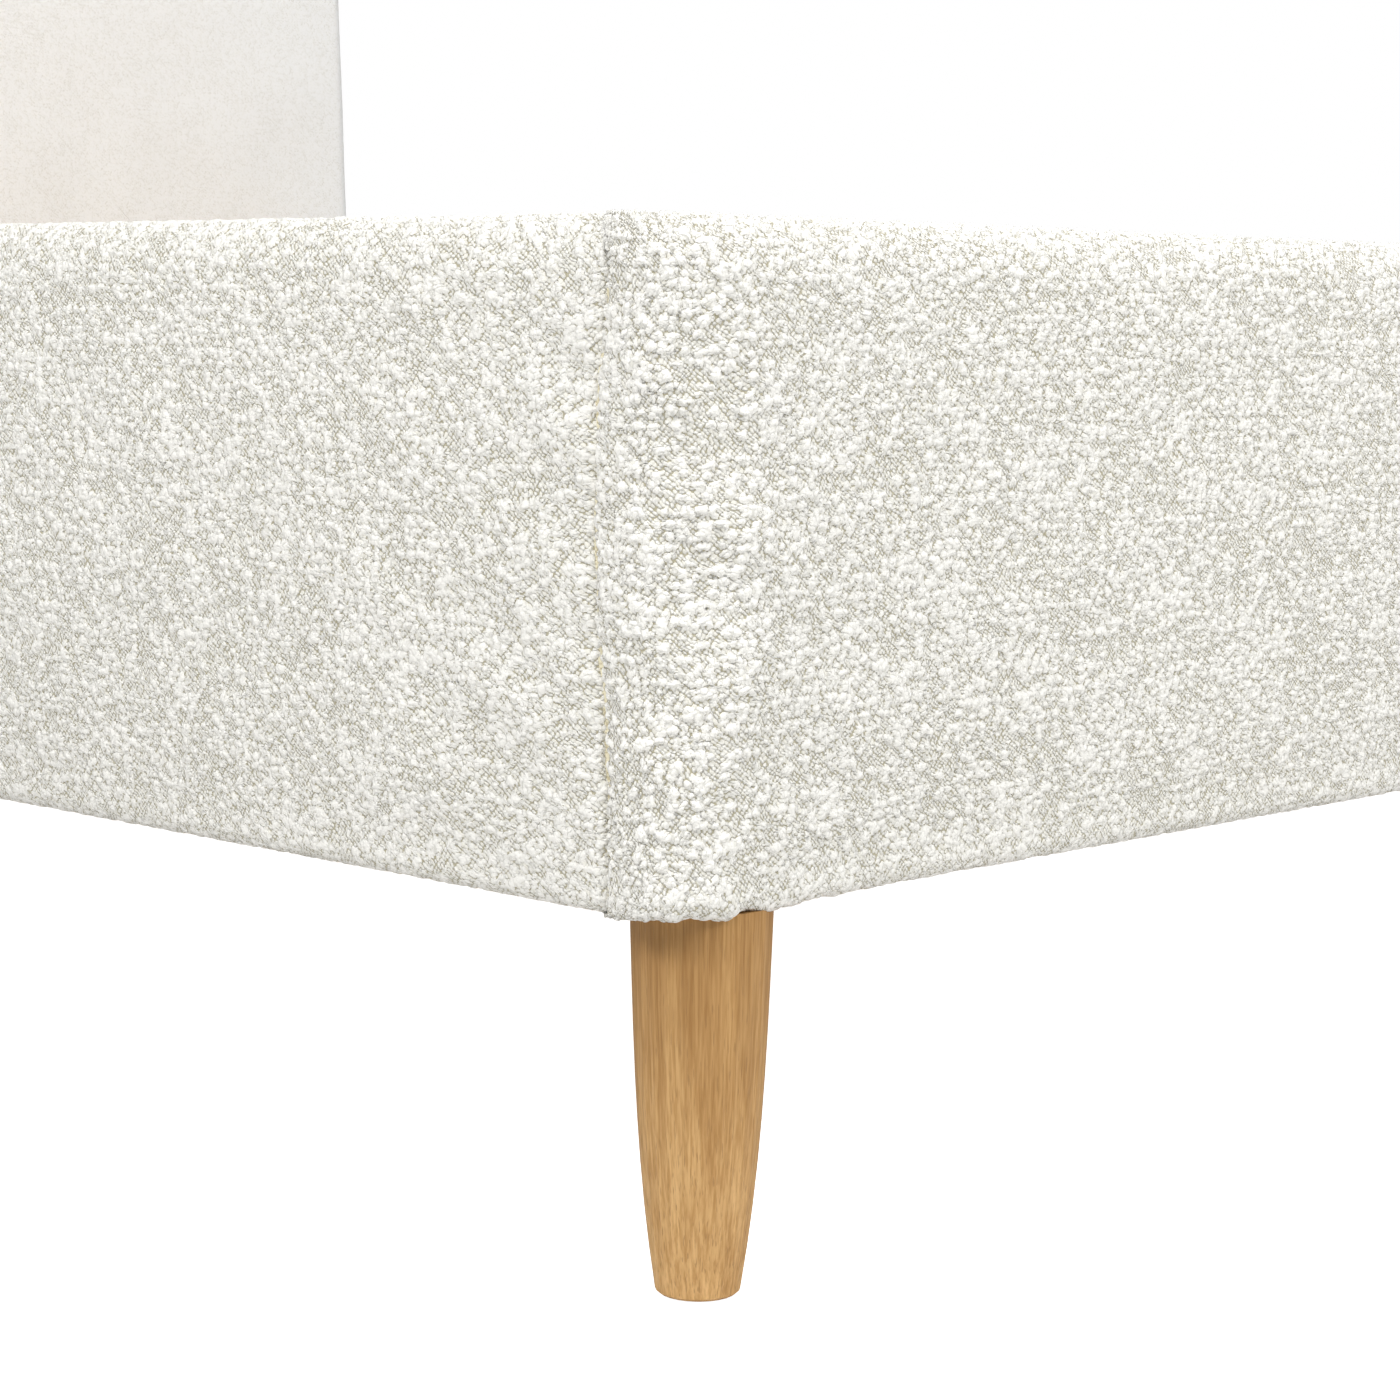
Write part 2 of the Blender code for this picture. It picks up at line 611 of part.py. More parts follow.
def joinery(foot, panel, headboard_foam, headboard_cover, crossbar):
    """Corner angles and bolts: into the foot rail's core, and through the crossbar into the headboard."""
    bolt_inset = INNER_HALF_WIDTH - 0.036
    foot_face = FOOT_Y + CORE_INNER + GAP
    head_face = CROSSBAR_FRONT - GAP
    panel_reach = (HEADBOARD_THICKNESS - SKIN - GAP) / math.cos(RAKE) - GAP
    through = face_y(BRACKET_MIDDLE) + panel_reach - 2 * GAP - (head_face - BRACKET_STEEL)
    for name, side in (("left", -1), ("right", 1)):
        bracket = corner_bracket(f"foot_{name}", side, foot_face, 1)
        hex_bolt(
            f"bracket_bolt_foot_{name}",
            side * bolt_inset,
            foot_face + BRACKET_STEEL + GAP,
            -(BRACKET_STEEL + RAIL_CORE - 2 * GAP),
            BRACKET_MIDDLE,
            (bracket, foot[0]),
        )
        bracket = corner_bracket(f"head_{name}", side, head_face, -1)
        hex_bolt(
            f"bracket_bolt_head_{name}",
            side * bolt_inset,
            head_face - BRACKET_STEEL - GAP,
            through,
            BRACKET_MIDDLE,
            (bracket, crossbar, headboard_cover, headboard_foam, panel),
        )


def legs(foot, left, right, beam):
    foot_y = FOOT_Y + LEG_INSET_IN
    head_y = face_y(LEG_HEIGHT) - LEG_INSET_ALONG
    for name, side, side_rail in (("left", -1, left), ("right", 1, right)):
        corner_leg(f"foot_{name}", side * (WIDTH / 2 - LEG_INSET_ALONG), foot_y, foot)
        corner_leg(f"head_{name}", side * (WIDTH / 2 - LEG_INSET_IN), head_y, side_rail)
    middle = (foot_y + head_y) / 2
    centre_leg("foot", middle - CENTRE_LEG_SPACING / 2, beam)
    centre_leg("head", middle + CENTRE_LEG_SPACING / 2, beam)


def main():
    foot, left, right = rails()
    panel, headboard_foam, headboard_cover = headboard()
    crossbar, beam = slatted_base()
    joinery(foot, panel, headboard_foam, headboard_cover, crossbar)
    legs(foot, left, right, beam)


main()
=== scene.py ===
"""Looks of the queen upholstered bed: boucle covers, turned oak legs, pine base and steel fittings."""

import math

import bmesh
import bpy
import numpy as np
from mathutils import Matrix, Vector


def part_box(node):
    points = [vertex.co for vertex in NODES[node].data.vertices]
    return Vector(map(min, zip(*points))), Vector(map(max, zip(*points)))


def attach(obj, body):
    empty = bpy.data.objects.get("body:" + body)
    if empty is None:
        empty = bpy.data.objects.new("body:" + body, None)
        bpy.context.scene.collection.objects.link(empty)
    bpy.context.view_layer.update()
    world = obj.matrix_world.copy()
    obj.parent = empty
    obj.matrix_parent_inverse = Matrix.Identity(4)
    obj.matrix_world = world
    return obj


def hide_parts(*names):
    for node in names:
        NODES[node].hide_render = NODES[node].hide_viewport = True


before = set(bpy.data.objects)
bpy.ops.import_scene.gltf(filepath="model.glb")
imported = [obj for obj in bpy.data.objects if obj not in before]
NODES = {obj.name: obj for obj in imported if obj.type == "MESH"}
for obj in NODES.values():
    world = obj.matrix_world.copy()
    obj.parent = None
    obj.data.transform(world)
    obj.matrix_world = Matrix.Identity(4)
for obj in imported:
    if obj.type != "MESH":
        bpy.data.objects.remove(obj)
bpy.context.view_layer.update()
MM = 0.001

# ---------------------------------------------------------------- sizes, read from the frame
FOOT_LOW, FOOT_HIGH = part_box("foot_rail_cover")
SIDE_LOW, SIDE_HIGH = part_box("side_rail_left_cover")
BOARD_LOW, BOARD_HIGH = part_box("headboard_cover")
HALF_WIDTH = FOOT_HIGH.x
RAIL_DEPTH = FOOT_HIGH.y - FOOT_LOW.y
RAIL_HEIGHT = FOOT_HIGH.z - FOOT_LOW.z
FOOT_Y = FOOT_LOW.y
RAIL_BOTTOM = FOOT_LOW.z
RAKE = math.radians(3)
BOARD_THICKNESS = 90 * MM
BOARD_LENGTH = (BOARD_HIGH.z - BOARD_LOW.z - BOARD_THICKNESS * math.sin(RAKE)) / math.cos(RAKE)

# ---------------------------------------------------------------- camera, lights and floor
CAMERA_FROM_CORNER = Vector((-0.857, -0.828, 0.382))
CAMERA_YAW, CAMERA_PITCH, CAMERA_ROLL = math.radians(46.53), math.radians(6.70), math.radians(0.635)
CAMERA_LENS = 83.75
ROOM_LIGHT = 0.25
SOFTBOXES = (
    ("left", (-0.95, 0.16, 0.65), 3.0, (0.7, 0.7), 34),
    ("right", (0.42, -0.90, 0.60), 3.4, (0.8, 0.8), 49),
    ("front", (-0.70, -0.70, 0.95), 3.5, (1.6, 1.6), 40),
    ("above", (-0.15, -0.15, 1.0), 2.6, (1.4, 1.4), 26),
)
BOARD_LIGHT_FROM = (0.9, -1.5, 1.4)
BOARD_LIGHT_SIZE, BOARD_LIGHT_POWER = (1.2, 1.2), 17
BOARD_LIGHT_COLOUR = (0.92, 0.96, 1.0)
AIM_HEIGHT, BOARD_AIM_HEIGHT = 0.3, 0.7
FLOOR_GLOW = 0.92


def camera():
    """Looks at the near corner of the bed's foot."""
    ahead = Vector(
        (
            math.sin(CAMERA_YAW) * math.cos(CAMERA_PITCH),
            math.cos(CAMERA_YAW) * math.cos(CAMERA_PITCH),
            -math.sin(CAMERA_PITCH),
        )
    )
    level = Vector((math.cos(CAMERA_YAW), -math.sin(CAMERA_YAW), 0))
    above = level.cross(ahead)
    right = level * math.cos(CAMERA_ROLL) + above * math.sin(CAMERA_ROLL)
    up = right.cross(ahead)
    data = bpy.data.cameras.new("camera")
    data.lens = CAMERA_LENS
    data.sensor_width = 36
    data.clip_start = 0.05
    obj = bpy.data.objects.new("camera", data)
    bpy.context.scene.collection.objects.link(obj)
    place = Matrix((right, up, -ahead)).transposed().to_4x4()
    place.translation = Vector((-HALF_WIDTH, FOOT_Y, 0)) + CAMERA_FROM_CORNER
    obj.matrix_world = place
    bpy.context.scene.camera = obj


def area_light(name, place, target, size, power, colour=(1, 1, 1)):
    data = bpy.data.lights.new(name, "AREA")
    data.shape = "RECTANGLE"
    data.size, data.size_y = size
    data.energy = power
    data.color = colour
    obj = bpy.data.objects.new(name, data)
    bpy.context.scene.collection.objects.link(obj)
    obj.location = place
    obj.rotation_euler = (Vector(target) - Vector(place)).to_track_quat("-Z", "Y").to_euler()


def studio():
    """A white room: it shows white to the camera and lights the bed more softly."""
    world = bpy.data.worlds.new("studio")
    bpy.context.scene.world = world
    world.use_nodes = True
    tree = world.node_tree
    rays = tree.nodes.new("ShaderNodeLightPath")
    strength = tree.nodes.new("ShaderNodeMapRange")
    tree.links.new(rays.outputs["Is Camera Ray"], strength.inputs["Value"])
    strength.inputs["To Min"].default_value = ROOM_LIGHT
    strength.inputs["To Max"].default_value = 1.0
    tree.nodes["Background"].inputs["Color"].default_value = (1, 1, 1, 1)
    tree.links.new(strength.outputs["Result"], tree.nodes["Background"].inputs["Strength"])
    bpy.context.scene.view_settings.view_transform = "Standard"
    corner = Vector((-HALF_WIDTH, FOOT_Y, AIM_HEIGHT))
    for name, towards, reach, size, power in SOFTBOXES:
        place = corner + Vector(towards).normalized() * reach
        area_light(name, place, corner, size, power)
    board = Vector((0, BOARD_LOW.y, BOARD_AIM_HEIGHT))
    place = board + Vector(BOARD_LIGHT_FROM)
    area_light("headboard", place, board, BOARD_LIGHT_SIZE, BOARD_LIGHT_POWER, BOARD_LIGHT_COLOUR)


# ---------------------------------------------------------------- node helpers
def shader(name):
    made = bpy.data.materials.new(name)
    made.use_nodes = True
    return made, made.node_tree, made.node_tree.nodes["Principled BSDF"]


def feed(tree, socket, value):
    """Links a socket to another, or sets its value."""
    if isinstance(value, bpy.types.NodeSocket):
        tree.links.new(value, socket)
    else:
        socket.default_value = value


def maths(tree, operation, a, b=None, clamp=False):
    node = tree.nodes.new("ShaderNodeMath")
    node.operation = operation
    node.use_clamp = clamp
    feed(tree, node.inputs[0], a)
    if b is not None:
        feed(tree, node.inputs[1], b)
    return node.outputs[0]


def vector_maths(tree, operation, a, b=None, scale=None):
    node = tree.nodes.new("ShaderNodeVectorMath")
    node.operation = operation
    feed(tree, node.inputs[0], a)
    if b is not None:
        feed(tree, node.inputs[1], b)
    if scale is not None:
        feed(tree, node.inputs["Scale"], scale)
    return node.outputs[0]


def ramp(tree, value, low, high, to_low=0.0, to_high=1.0, smooth=True):
    node = tree.nodes.new("ShaderNodeMapRange")
    node.interpolation_type = "SMOOTHSTEP" if smooth else "LINEAR"
    feed(tree, node.inputs["Value"], value)
    feed(tree, node.inputs["From Min"], low)
    feed(tree, node.inputs["From Max"], high)
    feed(tree, node.inputs["To Min"], to_low)
    feed(tree, node.inputs["To Max"], to_high)
    return node.outputs["Result"]


def noise(tree, vector, scale, detail=2.0, roughness=0.5):
    node = tree.nodes.new("ShaderNodeTexNoise")
    feed(tree, node.inputs["Vector"], vector)
    node.inputs["Scale"].default_value = scale
    node.inputs["Detail"].default_value = detail
    node.inputs["Roughness"].default_value = roughness
    return node


def cells(tree, vector, scale, randomness=1.0):
    node = tree.nodes.new("ShaderNodeTexVoronoi")
    node.voronoi_dimensions = "2D"
    feed(tree, node.inputs["Vector"], vector)
    node.inputs["Scale"].default_value = scale
    node.inputs["Randomness"].default_value = randomness
    return node


def parts_of(tree, vector):
    """The three numbers of a vector or colour."""
    node = tree.nodes.new("ShaderNodeSeparateXYZ")
    feed(tree, node.inputs[0], vector)
    return node.outputs


def object_place(tree):
    return tree.nodes.new("ShaderNodeTexCoord").outputs["Object"]


def blend_colour(tree, share, a, b):
    node = tree.nodes.new("ShaderNodeMix")
    node.data_type = "RGBA"
    feed(tree, node.inputs["Factor"], share)
    feed(tree, node.inputs["A"], a)
    feed(tree, node.inputs["B"], b)
    return node.outputs["Result"]


def mixed(tree, share, a, b):
    """The number a where share is 0, and b where it is 1."""
    node = tree.nodes.new("ShaderNodeMix")
    feed(tree, node.inputs["Factor"], share)
    feed(tree, node.inputs[2], a)
    feed(tree, node.inputs[3], b)
    return node.outputs[0]


def tint(tree, colour, by):
    node = tree.nodes.new("ShaderNodeMix")
    node.data_type = "RGBA"
    node.blend_type = "MULTIPLY"
    node.inputs["Factor"].default_value = 1.0
    feed(tree, node.inputs["A"], colour)
    feed(tree, node.inputs["B"], by)
    return node.outputs["Result"]


def bump(tree, height, distance, strength=1.0):
    node = tree.nodes.new("ShaderNodeBump")
    feed(tree, node.inputs["Height"], height)
    node.inputs["Distance"].default_value = distance
    feed(tree, node.inputs["Strength"], strength)
    return node.outputs["Normal"]


def attribute(tree, name):
    node = tree.nodes.new("ShaderNodeAttribute")
    node.attribute_name = name
    return node


# ---------------------------------------------------------------- boucle cloth
# Lengths inside the cloth's pattern are in millimetres, like the coordinates in its "cloth" attribute.
BEAD_ACROSS, BEAD_ALONG, TWILL_ANGLE = 1.9, 1.45, math.radians(38)
ROW_SHIFT = 0.22
NUB_CELL, SMALL_NUB_CELL, LOOP_CELL = 4.6, 3.0, 1.8
# The weave's low and high colours: the tan crevices, under-threads and loop hollows are partly the yarns'
# own tones and partly painted shade.
GAP_TAN_AND_SHADE_COLOURS = (0.40, 0.36, 0.23, 1), (0.52, 0.48, 0.36, 1)
THREAD_COLOURS = (0.83, 0.805, 0.72, 1), (0.95, 0.935, 0.87, 1)
FLUFF_COLOURS = (0.77, 0.755, 0.69, 1), (0.93, 0.915, 0.865, 1)
CALM_COLOUR = (0.885, 0.885, 0.895, 1)
MEAN_TUFT = 0.75


def wander(tree, place, frequency, reach, detail=1.0):
    """Moves points to and fro by up to about half of reach."""
    cloud = noise(tree, place, frequency, detail)
    shift = vector_maths(tree, "SUBTRACT", cloud.outputs["Color"], (0.5, 0.5, 0.5))
    return vector_maths(tree, "ADD", place, vector_maths(tree, "SCALE", shift, scale=reach))


def dome(tree, distance, radius, power):
    share = maths(tree, "DIVIDE", distance, radius)
    height = maths(tree, "SUBTRACT", 1.0, maths(tree, "MULTIPLY", share, share), clamp=True)
    return maths(tree, "POWER", height, power)


def beads(tree, place):
    """The ground weave as (height, over): rounded yarn floats, every other one of them on top."""
    turned = tree.nodes.new("ShaderNodeVectorRotate")
    turned.rotation_type = "Z_AXIS"
    feed(tree, turned.inputs["Vector"], place)
    turned.inputs["Angle"].default_value = TWILL_ANGLE
    threads = vector_maths(tree, "MULTIPLY", turned.outputs[0], (1 / BEAD_ACROSS, 1 / BEAD_ALONG, 0.0))
    lattice = cells(tree, threads, 1.0, 0.40)
    chance = parts_of(tree, lattice.outputs["Color"])[0]
    radius = ramp(tree, chance, 0.0, 1.0, 0.47, 0.66, smooth=False)
    row = maths(tree, "SUBTRACT", parts_of(tree, threads)[1], ROW_SHIFT)
    row = maths(tree, "COSINE", maths(tree, "MULTIPLY", row, math.pi))
    over = ramp(tree, row, -0.8, 0.4, 0.35, 1.0)
    bead = dome(tree, lattice.outputs["Distance"], radius, 0.75)
    share = maths(tree, "ADD", 0.5, maths(tree, "MULTIPLY", over, 0.5))
    return maths(tree, "MULTIPLY", bead, share), over


def nub_layer(tree, place, cell, radius_low, radius_high, kept):
    """Tufts of loose loops, one in each kept cell, 0 to 1 high."""
    broad = vector_maths(tree, "MULTIPLY", place, (0.85, 1.0, 1.0))
    bent = wander(tree, broad, 0.34, cell * 0.5, 1.0)
    spots = cells(tree, bent, 1 / cell)
    chance = parts_of(tree, spots.outputs["Color"])
    radius = ramp(tree, chance[0], 0.0, 1.0, radius_low / cell, radius_high / cell, smooth=False)
    there = maths(tree, "LESS_THAN", chance[1], kept)
    return maths(tree, "MULTIPLY", dome(tree, spots.outputs["Distance"], radius, 0.7), there)


def tufts(tree, cloth):
    """Height of the nubs, 0 to 1."""
    patch = noise(tree, cloth, 0.028, 2.0).outputs["Fac"]
    kept = ramp(tree, patch, 0.35, 0.65, 0.40, 0.85, smooth=False)
    large = nub_layer(tree, cloth, NUB_CELL, 1.2, 3.0, kept)
    other = vector_maths(tree, "ADD", cloth, (313.7, 171.3, 0.0))
    small = nub_layer(tree, other, SMALL_NUB_CELL, 0.9, 2.0, kept)
    tuft = maths(tree, "MAXIMUM", large, maths(tree, "MULTIPLY", small, 0.7))
    swell = noise(tree, cloth, 0.10, 1.0).outputs["Fac"]
    return maths(tree, "ADD", maths(tree, "MULTIPLY", tuft, 0.85), maths(tree, "MULTIPLY", swell, 0.4))


def boucle_material():
    """Cream boucle: a diagonal ground of small beads under tufts of loose loops; its colour darkens where
    the weave lies low, tan in the crevices, partly the yarn's own tones and partly painted crevice shade.
    """
    made, tree, surface = shader("boucle_cloth")
    cloth = attribute(tree, "cloth").outputs["Vector"]
    relief = attribute(tree, "nub_bump").outputs["Fac"]
    calm = attribute(tree, "calm").outputs["Fac"]
    nubs = tufts(tree, cloth)
    yarn = wander(tree, wander(tree, cloth, 0.06, 5.0), 0.35, 1.4)
    bead, over = beads(tree, yarn)
    loops = dome(tree, cells(tree, yarn, 1 / LOOP_CELL).outputs["Distance"], 0.72, 0.7)
    fluffy = ramp(tree, nubs, 0.30, 0.70)
    tone = noise(tree, cloth, 0.07, 3.0, 0.6).outputs["Fac"]
    fibre = noise(tree, cloth, 1.3, 3.0, 0.7).outputs["Fac"]

    # Painted shade, partly real yarn tones: the colour darkens where the weave lies low, tan in the gaps,
    # duller on the under-threads and in the loops' hollows.
    gap = blend_colour(tree, tone, *GAP_TAN_AND_SHADE_COLOURS)
    thread = blend_colour(tree, over, *THREAD_COLOURS)
    fuzz = maths(tree, "MULTIPLY", maths(tree, "SUBTRACT", fibre, 0.5), 0.3)
    lump = maths(tree, "ADD", mixed(tree, fluffy, bead, loops), fuzz)
    ground = blend_colour(tree, ramp(tree, lump, -0.04, 0.27), gap, thread)
    fluff = blend_colour(tree, ramp(tree, lump, -0.1, 0.4), *FLUFF_COLOURS)
    colour = blend_colour(tree, fluffy, ground, fluff)
    colour = blend_colour(tree, calm, colour, CALM_COLOUR)
    feed(tree, surface.inputs["Base Color"], colour)
    surface.inputs["Roughness"].default_value = 0.95
    surface.inputs["Specular IOR Level"].default_value = 0.1
    surface.inputs["Sheen Weight"].default_value = 0.15
    surface.inputs["Sheen Roughness"].default_value = 0.6

    loop_ridge = maths(tree, "MULTIPLY", loops, 0.50)
    ridge = mixed(tree, fluffy, maths(tree, "MULTIPLY", bead, 0.95), loop_ridge)
    ridge = maths(tree, "ADD", ridge, maths(tree, "MULTIPLY", fibre, 0.30))
    heights = maths(tree, "ADD", ridge, maths(tree, "MULTIPLY", nubs, relief))
    feed(tree, surface.inputs["Normal"], bump(tree, heights, MM, maths(tree, "SUBTRACT", 1.0, calm)))
    return made


def relief_group():
    """Geometry nodes that raise the boucle's nubs, where a mesh is fine enough to hold them."""
    group = bpy.data.node_groups.new("boucle_relief", "GeometryNodeTree")
    group.interface.new_socket("Geometry", in_out="INPUT", socket_type="NodeSocketGeometry")
    group.interface.new_socket("Geometry", in_out="OUTPUT", socket_type="NodeSocketGeometry")
    enter, leave = group.nodes.new("NodeGroupInput"), group.nodes.new("NodeGroupOutput")
    cloth = group.nodes.new("GeometryNodeInputNamedAttribute")
    cloth.data_type = "FLOAT_VECTOR"
    cloth.inputs["Name"].default_value = "cloth"
    height = group.nodes.new("GeometryNodeInputNamedAttribute")
    height.data_type = "FLOAT"
    height.inputs["Name"].default_value = "nub_height"
    tuft = maths(group, "SUBTRACT", tufts(group, cloth.outputs["Attribute"]), MEAN_TUFT)
    raised = maths(group, "MULTIPLY", tuft, height.outputs["Attribute"])
    normal = group.nodes.new("GeometryNodeInputNormal")
    move = group.nodes.new("GeometryNodeSetPosition")
    group.links.new(enter.outputs[0], move.inputs["Geometry"])
    group.links.new(vector_maths(group, "SCALE", normal.outputs[0], scale=raised), move.inputs["Offset"])
    group.links.new(move.outputs["Geometry"], leave.inputs[0])
    return group


# ---------------------------------------------------------------- wood, metal, plastic and hidden cloths
def grain_space(tree, axis, across, along):
    """Object coordinates squeezed along the grain, so that noise draws streaks; across and along in 1/m."""
    scale = [across, across, across]
    scale[axis] = along
    return vector_maths(tree, "MULTIPLY", object_place(tree), tuple(scale))


def oak_material():
    """Oiled light oak, turned: straight grain and short dark pores, with painted shade darker towards the
    rail and painted bounce light paler towards the floor.
    """
    made, tree, surface = shader("oak_turned")
    lines = noise(tree, grain_space(tree, 2, 900, 14), 1.0, 3.0, 0.6).outputs["Fac"]
    bands = noise(tree, grain_space(tree, 2, 150, 5), 1.0, 2.0, 0.5).outputs["Fac"]
    pores = noise(tree, grain_space(tree, 2, 1500, 90), 1.0, 1.0, 0.5).outputs["Fac"]
    cloud = noise(tree, grain_space(tree, 2, 28, 18), 1.0, 2.0, 0.5).outputs["Fac"]
    streak = ramp(tree, lines, 0.30, 0.70)
    wood = blend_colour(tree, streak, (0.51, 0.290, 0.105, 1), (0.71, 0.450, 0.200, 1))
    tone = blend_colour(tree, ramp(tree, bands, 0.35, 0.65), (0.84, 0.80, 0.74, 1), (1.0, 1.0, 1.0, 1))
    wood = tint(tree, wood, tone)
    drift = blend_colour(tree, ramp(tree, cloud, 0.35, 0.65), (0.90, 0.87, 0.82, 1), (1.0, 1.0, 1.0, 1))
    wood = tint(tree, wood, drift)
    # Painted shade and light by height alone: darker and warmer towards the rail above the leg, paler
    # towards the floor.
    height = ramp(tree, parts_of(tree, object_place(tree))[2], 0.0, RAIL_BOTTOM, smooth=False)
    wood = tint(tree, wood, blend_colour(tree, height, (1.13, 1.15, 1.17, 1), (0.71, 0.64, 0.52, 1)))
    pore = ramp(tree, pores, 0.60, 0.72)
    wood = blend_colour(tree, maths(tree, "MULTIPLY", pore, 0.55), wood, (0.30, 0.16, 0.055, 1))
    feed(tree, surface.inputs["Base Color"], wood)
    feed(tree, surface.inputs["Roughness"], ramp(tree, lines, 0.2, 0.8, 0.62, 0.50))
    surface.inputs["Specular IOR Level"].default_value = 0.35
    relief = maths(tree, "SUBTRACT", maths(tree, "MULTIPLY", streak, 0.6), pore)
    feed(tree, surface.inputs["Normal"], bump(tree, relief, 0.10 * MM, 0.5))
    return made


def pine_material(name, axis, seed):
    """Planed pine: cathedral growth rings stretched along the board, fine fibres and a few knots."""
    made, tree, surface = shader(name)
    board = vector_maths(tree, "ADD", grain_space(tree, axis, 13, 0.9), (seed, 2 * seed, 3 * seed))
    swell = noise(tree, board, 1.0, 1.5, 0.45).outputs["Fac"]
    rings = maths(tree, "FRACT", maths(tree, "MULTIPLY", swell, 19.0))
    late = maths(tree, "MULTIPLY", ramp(tree, rings, 0.35, 0.93), ramp(tree, rings, 0.93, 1.0, 1.0, 0.0))
    fibre = noise(tree, grain_space(tree, axis, 1400, 16), 1.0, 2.0, 0.6).outputs["Fac"]
    wood = blend_colour(tree, late, (0.78, 0.59, 0.36, 1), (0.60, 0.38, 0.17, 1))
    wood = tint(tree, wood, blend_colour(tree, fibre, (0.86, 0.84, 0.80, 1), (1.0, 1.0, 1.0, 1)))
    spots = vector_maths(tree, "ADD", grain_space(tree, axis, 9, 4.2), (seed, seed, seed))
    knots = tree.nodes.new("ShaderNodeTexVoronoi")
    feed(tree, knots.inputs["Vector"], spots)
    knots.inputs["Scale"].default_value = 0.6
    knot = ramp(tree, knots.outputs["Distance"], 0.05, 0.10, 1.0, 0.0)
    wood = blend_colour(tree, maths(tree, "MULTIPLY", knot, 0.75), wood, (0.27, 0.13, 0.05, 1))
    feed(tree, surface.inputs["Base Color"], wood)
    feed(tree, surface.inputs["Roughness"], ramp(tree, fibre, 0.2, 0.8, 0.72, 0.60))
    surface.inputs["Specular IOR Level"].default_value = 0.3
    relief = maths(tree, "ADD", maths(tree, "MULTIPLY", fibre, 0.7), maths(tree, "MULTIPLY", late, 0.3))
    feed(tree, surface.inputs["Normal"], bump(tree, relief, 0.15 * MM, 0.7))
    return made


def plywood_material():
    """Rotary-cut face veneer, with the plies showing as bands on the edges."""
    made, tree, surface = shader("plywood_sheet")
    swell = noise(tree, grain_space(tree, 0, 9, 1.0), 1.0, 2.0, 0.5).outputs["Fac"]
    rings = maths(tree, "PINGPONG", maths(tree, "MULTIPLY", swell, 9.0), 0.5)
    face = blend_colour(tree, ramp(tree, rings, 0.1, 0.5), (0.68, 0.50, 0.30, 1), (0.55, 0.37, 0.20, 1))
    place = parts_of(tree, object_place(tree))
    back = maths(tree, "SUBTRACT", place[1], maths(tree, "MULTIPLY", place[2], math.tan(RAKE)))
    plies = maths(tree, "PINGPONG", maths(tree, "MULTIPLY", back, 1 / (2.6 * MM)), 1.0)
    bands = blend_colour(tree, ramp(tree, plies, 0.45, 0.55), (0.8, 0.76, 0.7, 1), (1, 1, 1, 1))
    face = tint(tree, face, bands)
    feed(tree, surface.inputs["Base Color"], face)
    surface.inputs["Roughness"].default_value = 0.7
    fibre = noise(tree, grain_space(tree, 0, 1300, 20), 1.0, 2.0).outputs["Fac"]
    feed(tree, surface.inputs["Normal"], bump(tree, fibre, 0.15 * MM, 0.7))
    return made


def zinc_material():
    """Bright zinc plating over pressed steel: faint spangle and uneven gloss."""
    made, tree, surface = shader("zinc_plated_steel")
    place = object_place(tree)
    cloud = noise(tree, place, 160.0, 4.0, 0.6).outputs["Fac"]
    spangle = tree.nodes.new("ShaderNodeTexVoronoi")
    feed(tree, spangle.inputs["Vector"], place)
    spangle.inputs["Scale"].default_value = 420.0
    tone = blend_colour(tree, cloud, (0.58, 0.59, 0.60, 1), (0.78, 0.785, 0.78, 1))
    flake = blend_colour(tree, spangle.outputs["Distance"], (1, 1, 1, 1), (0.88, 0.89, 0.91, 1))
    feed(tree, surface.inputs["Base Color"], tint(tree, tone, flake))
    surface.inputs["Metallic"].default_value = 1.0
    feed(tree, surface.inputs["Roughness"], ramp(tree, cloud, 0.3, 0.7, 0.30, 0.46))
    feed(tree, surface.inputs["Normal"], bump(tree, cloud, 0.05 * MM, 0.6))
    return made


def nylon_material(name, low, high):
    """Moulded nylon with a fine spark-eroded grain."""
    made, tree, surface = shader(name)
    place = object_place(tree)
    grain = noise(tree, place, 2600.0, 2.0, 0.6).outputs["Fac"]
    cloud = noise(tree, place, 90.0, 2.0).outputs["Fac"]
    feed(tree, surface.inputs["Base Color"], blend_colour(tree, cloud, low, high))
    feed(tree, surface.inputs["Roughness"], ramp(tree, cloud, 0.3, 0.7, 0.42, 0.56))
    feed(tree, surface.inputs["Normal"], bump(tree, grain, 0.06 * MM, 0.6))
    return made


def foam_material():
    """Open-cell polyurethane foam, darker in its pores as painted shade."""
    made, tree, surface = shader("foam_block")
    place = object_place(tree)
    pores = tree.nodes.new("ShaderNodeTexVoronoi")
    feed(tree, pores.inputs["Vector"], place)
    pores.inputs["Scale"].default_value = 900.0
    depth = ramp(tree, pores.outputs["Distance"], 0.1, 0.6)
    # Painted shade: the colour darkens towards each pore's centre, where the cell is deepest.
    colour = blend_colour(tree, depth, (0.62, 0.53, 0.33, 1), (0.84, 0.78, 0.58, 1))
    feed(tree, surface.inputs["Base Color"], colour)
    surface.inputs["Roughness"].default_value = 0.9
    feed(tree, surface.inputs["Normal"], bump(tree, depth, 0.4 * MM, 0.8))
    return made


WELD_STEP = 1.9 * MM


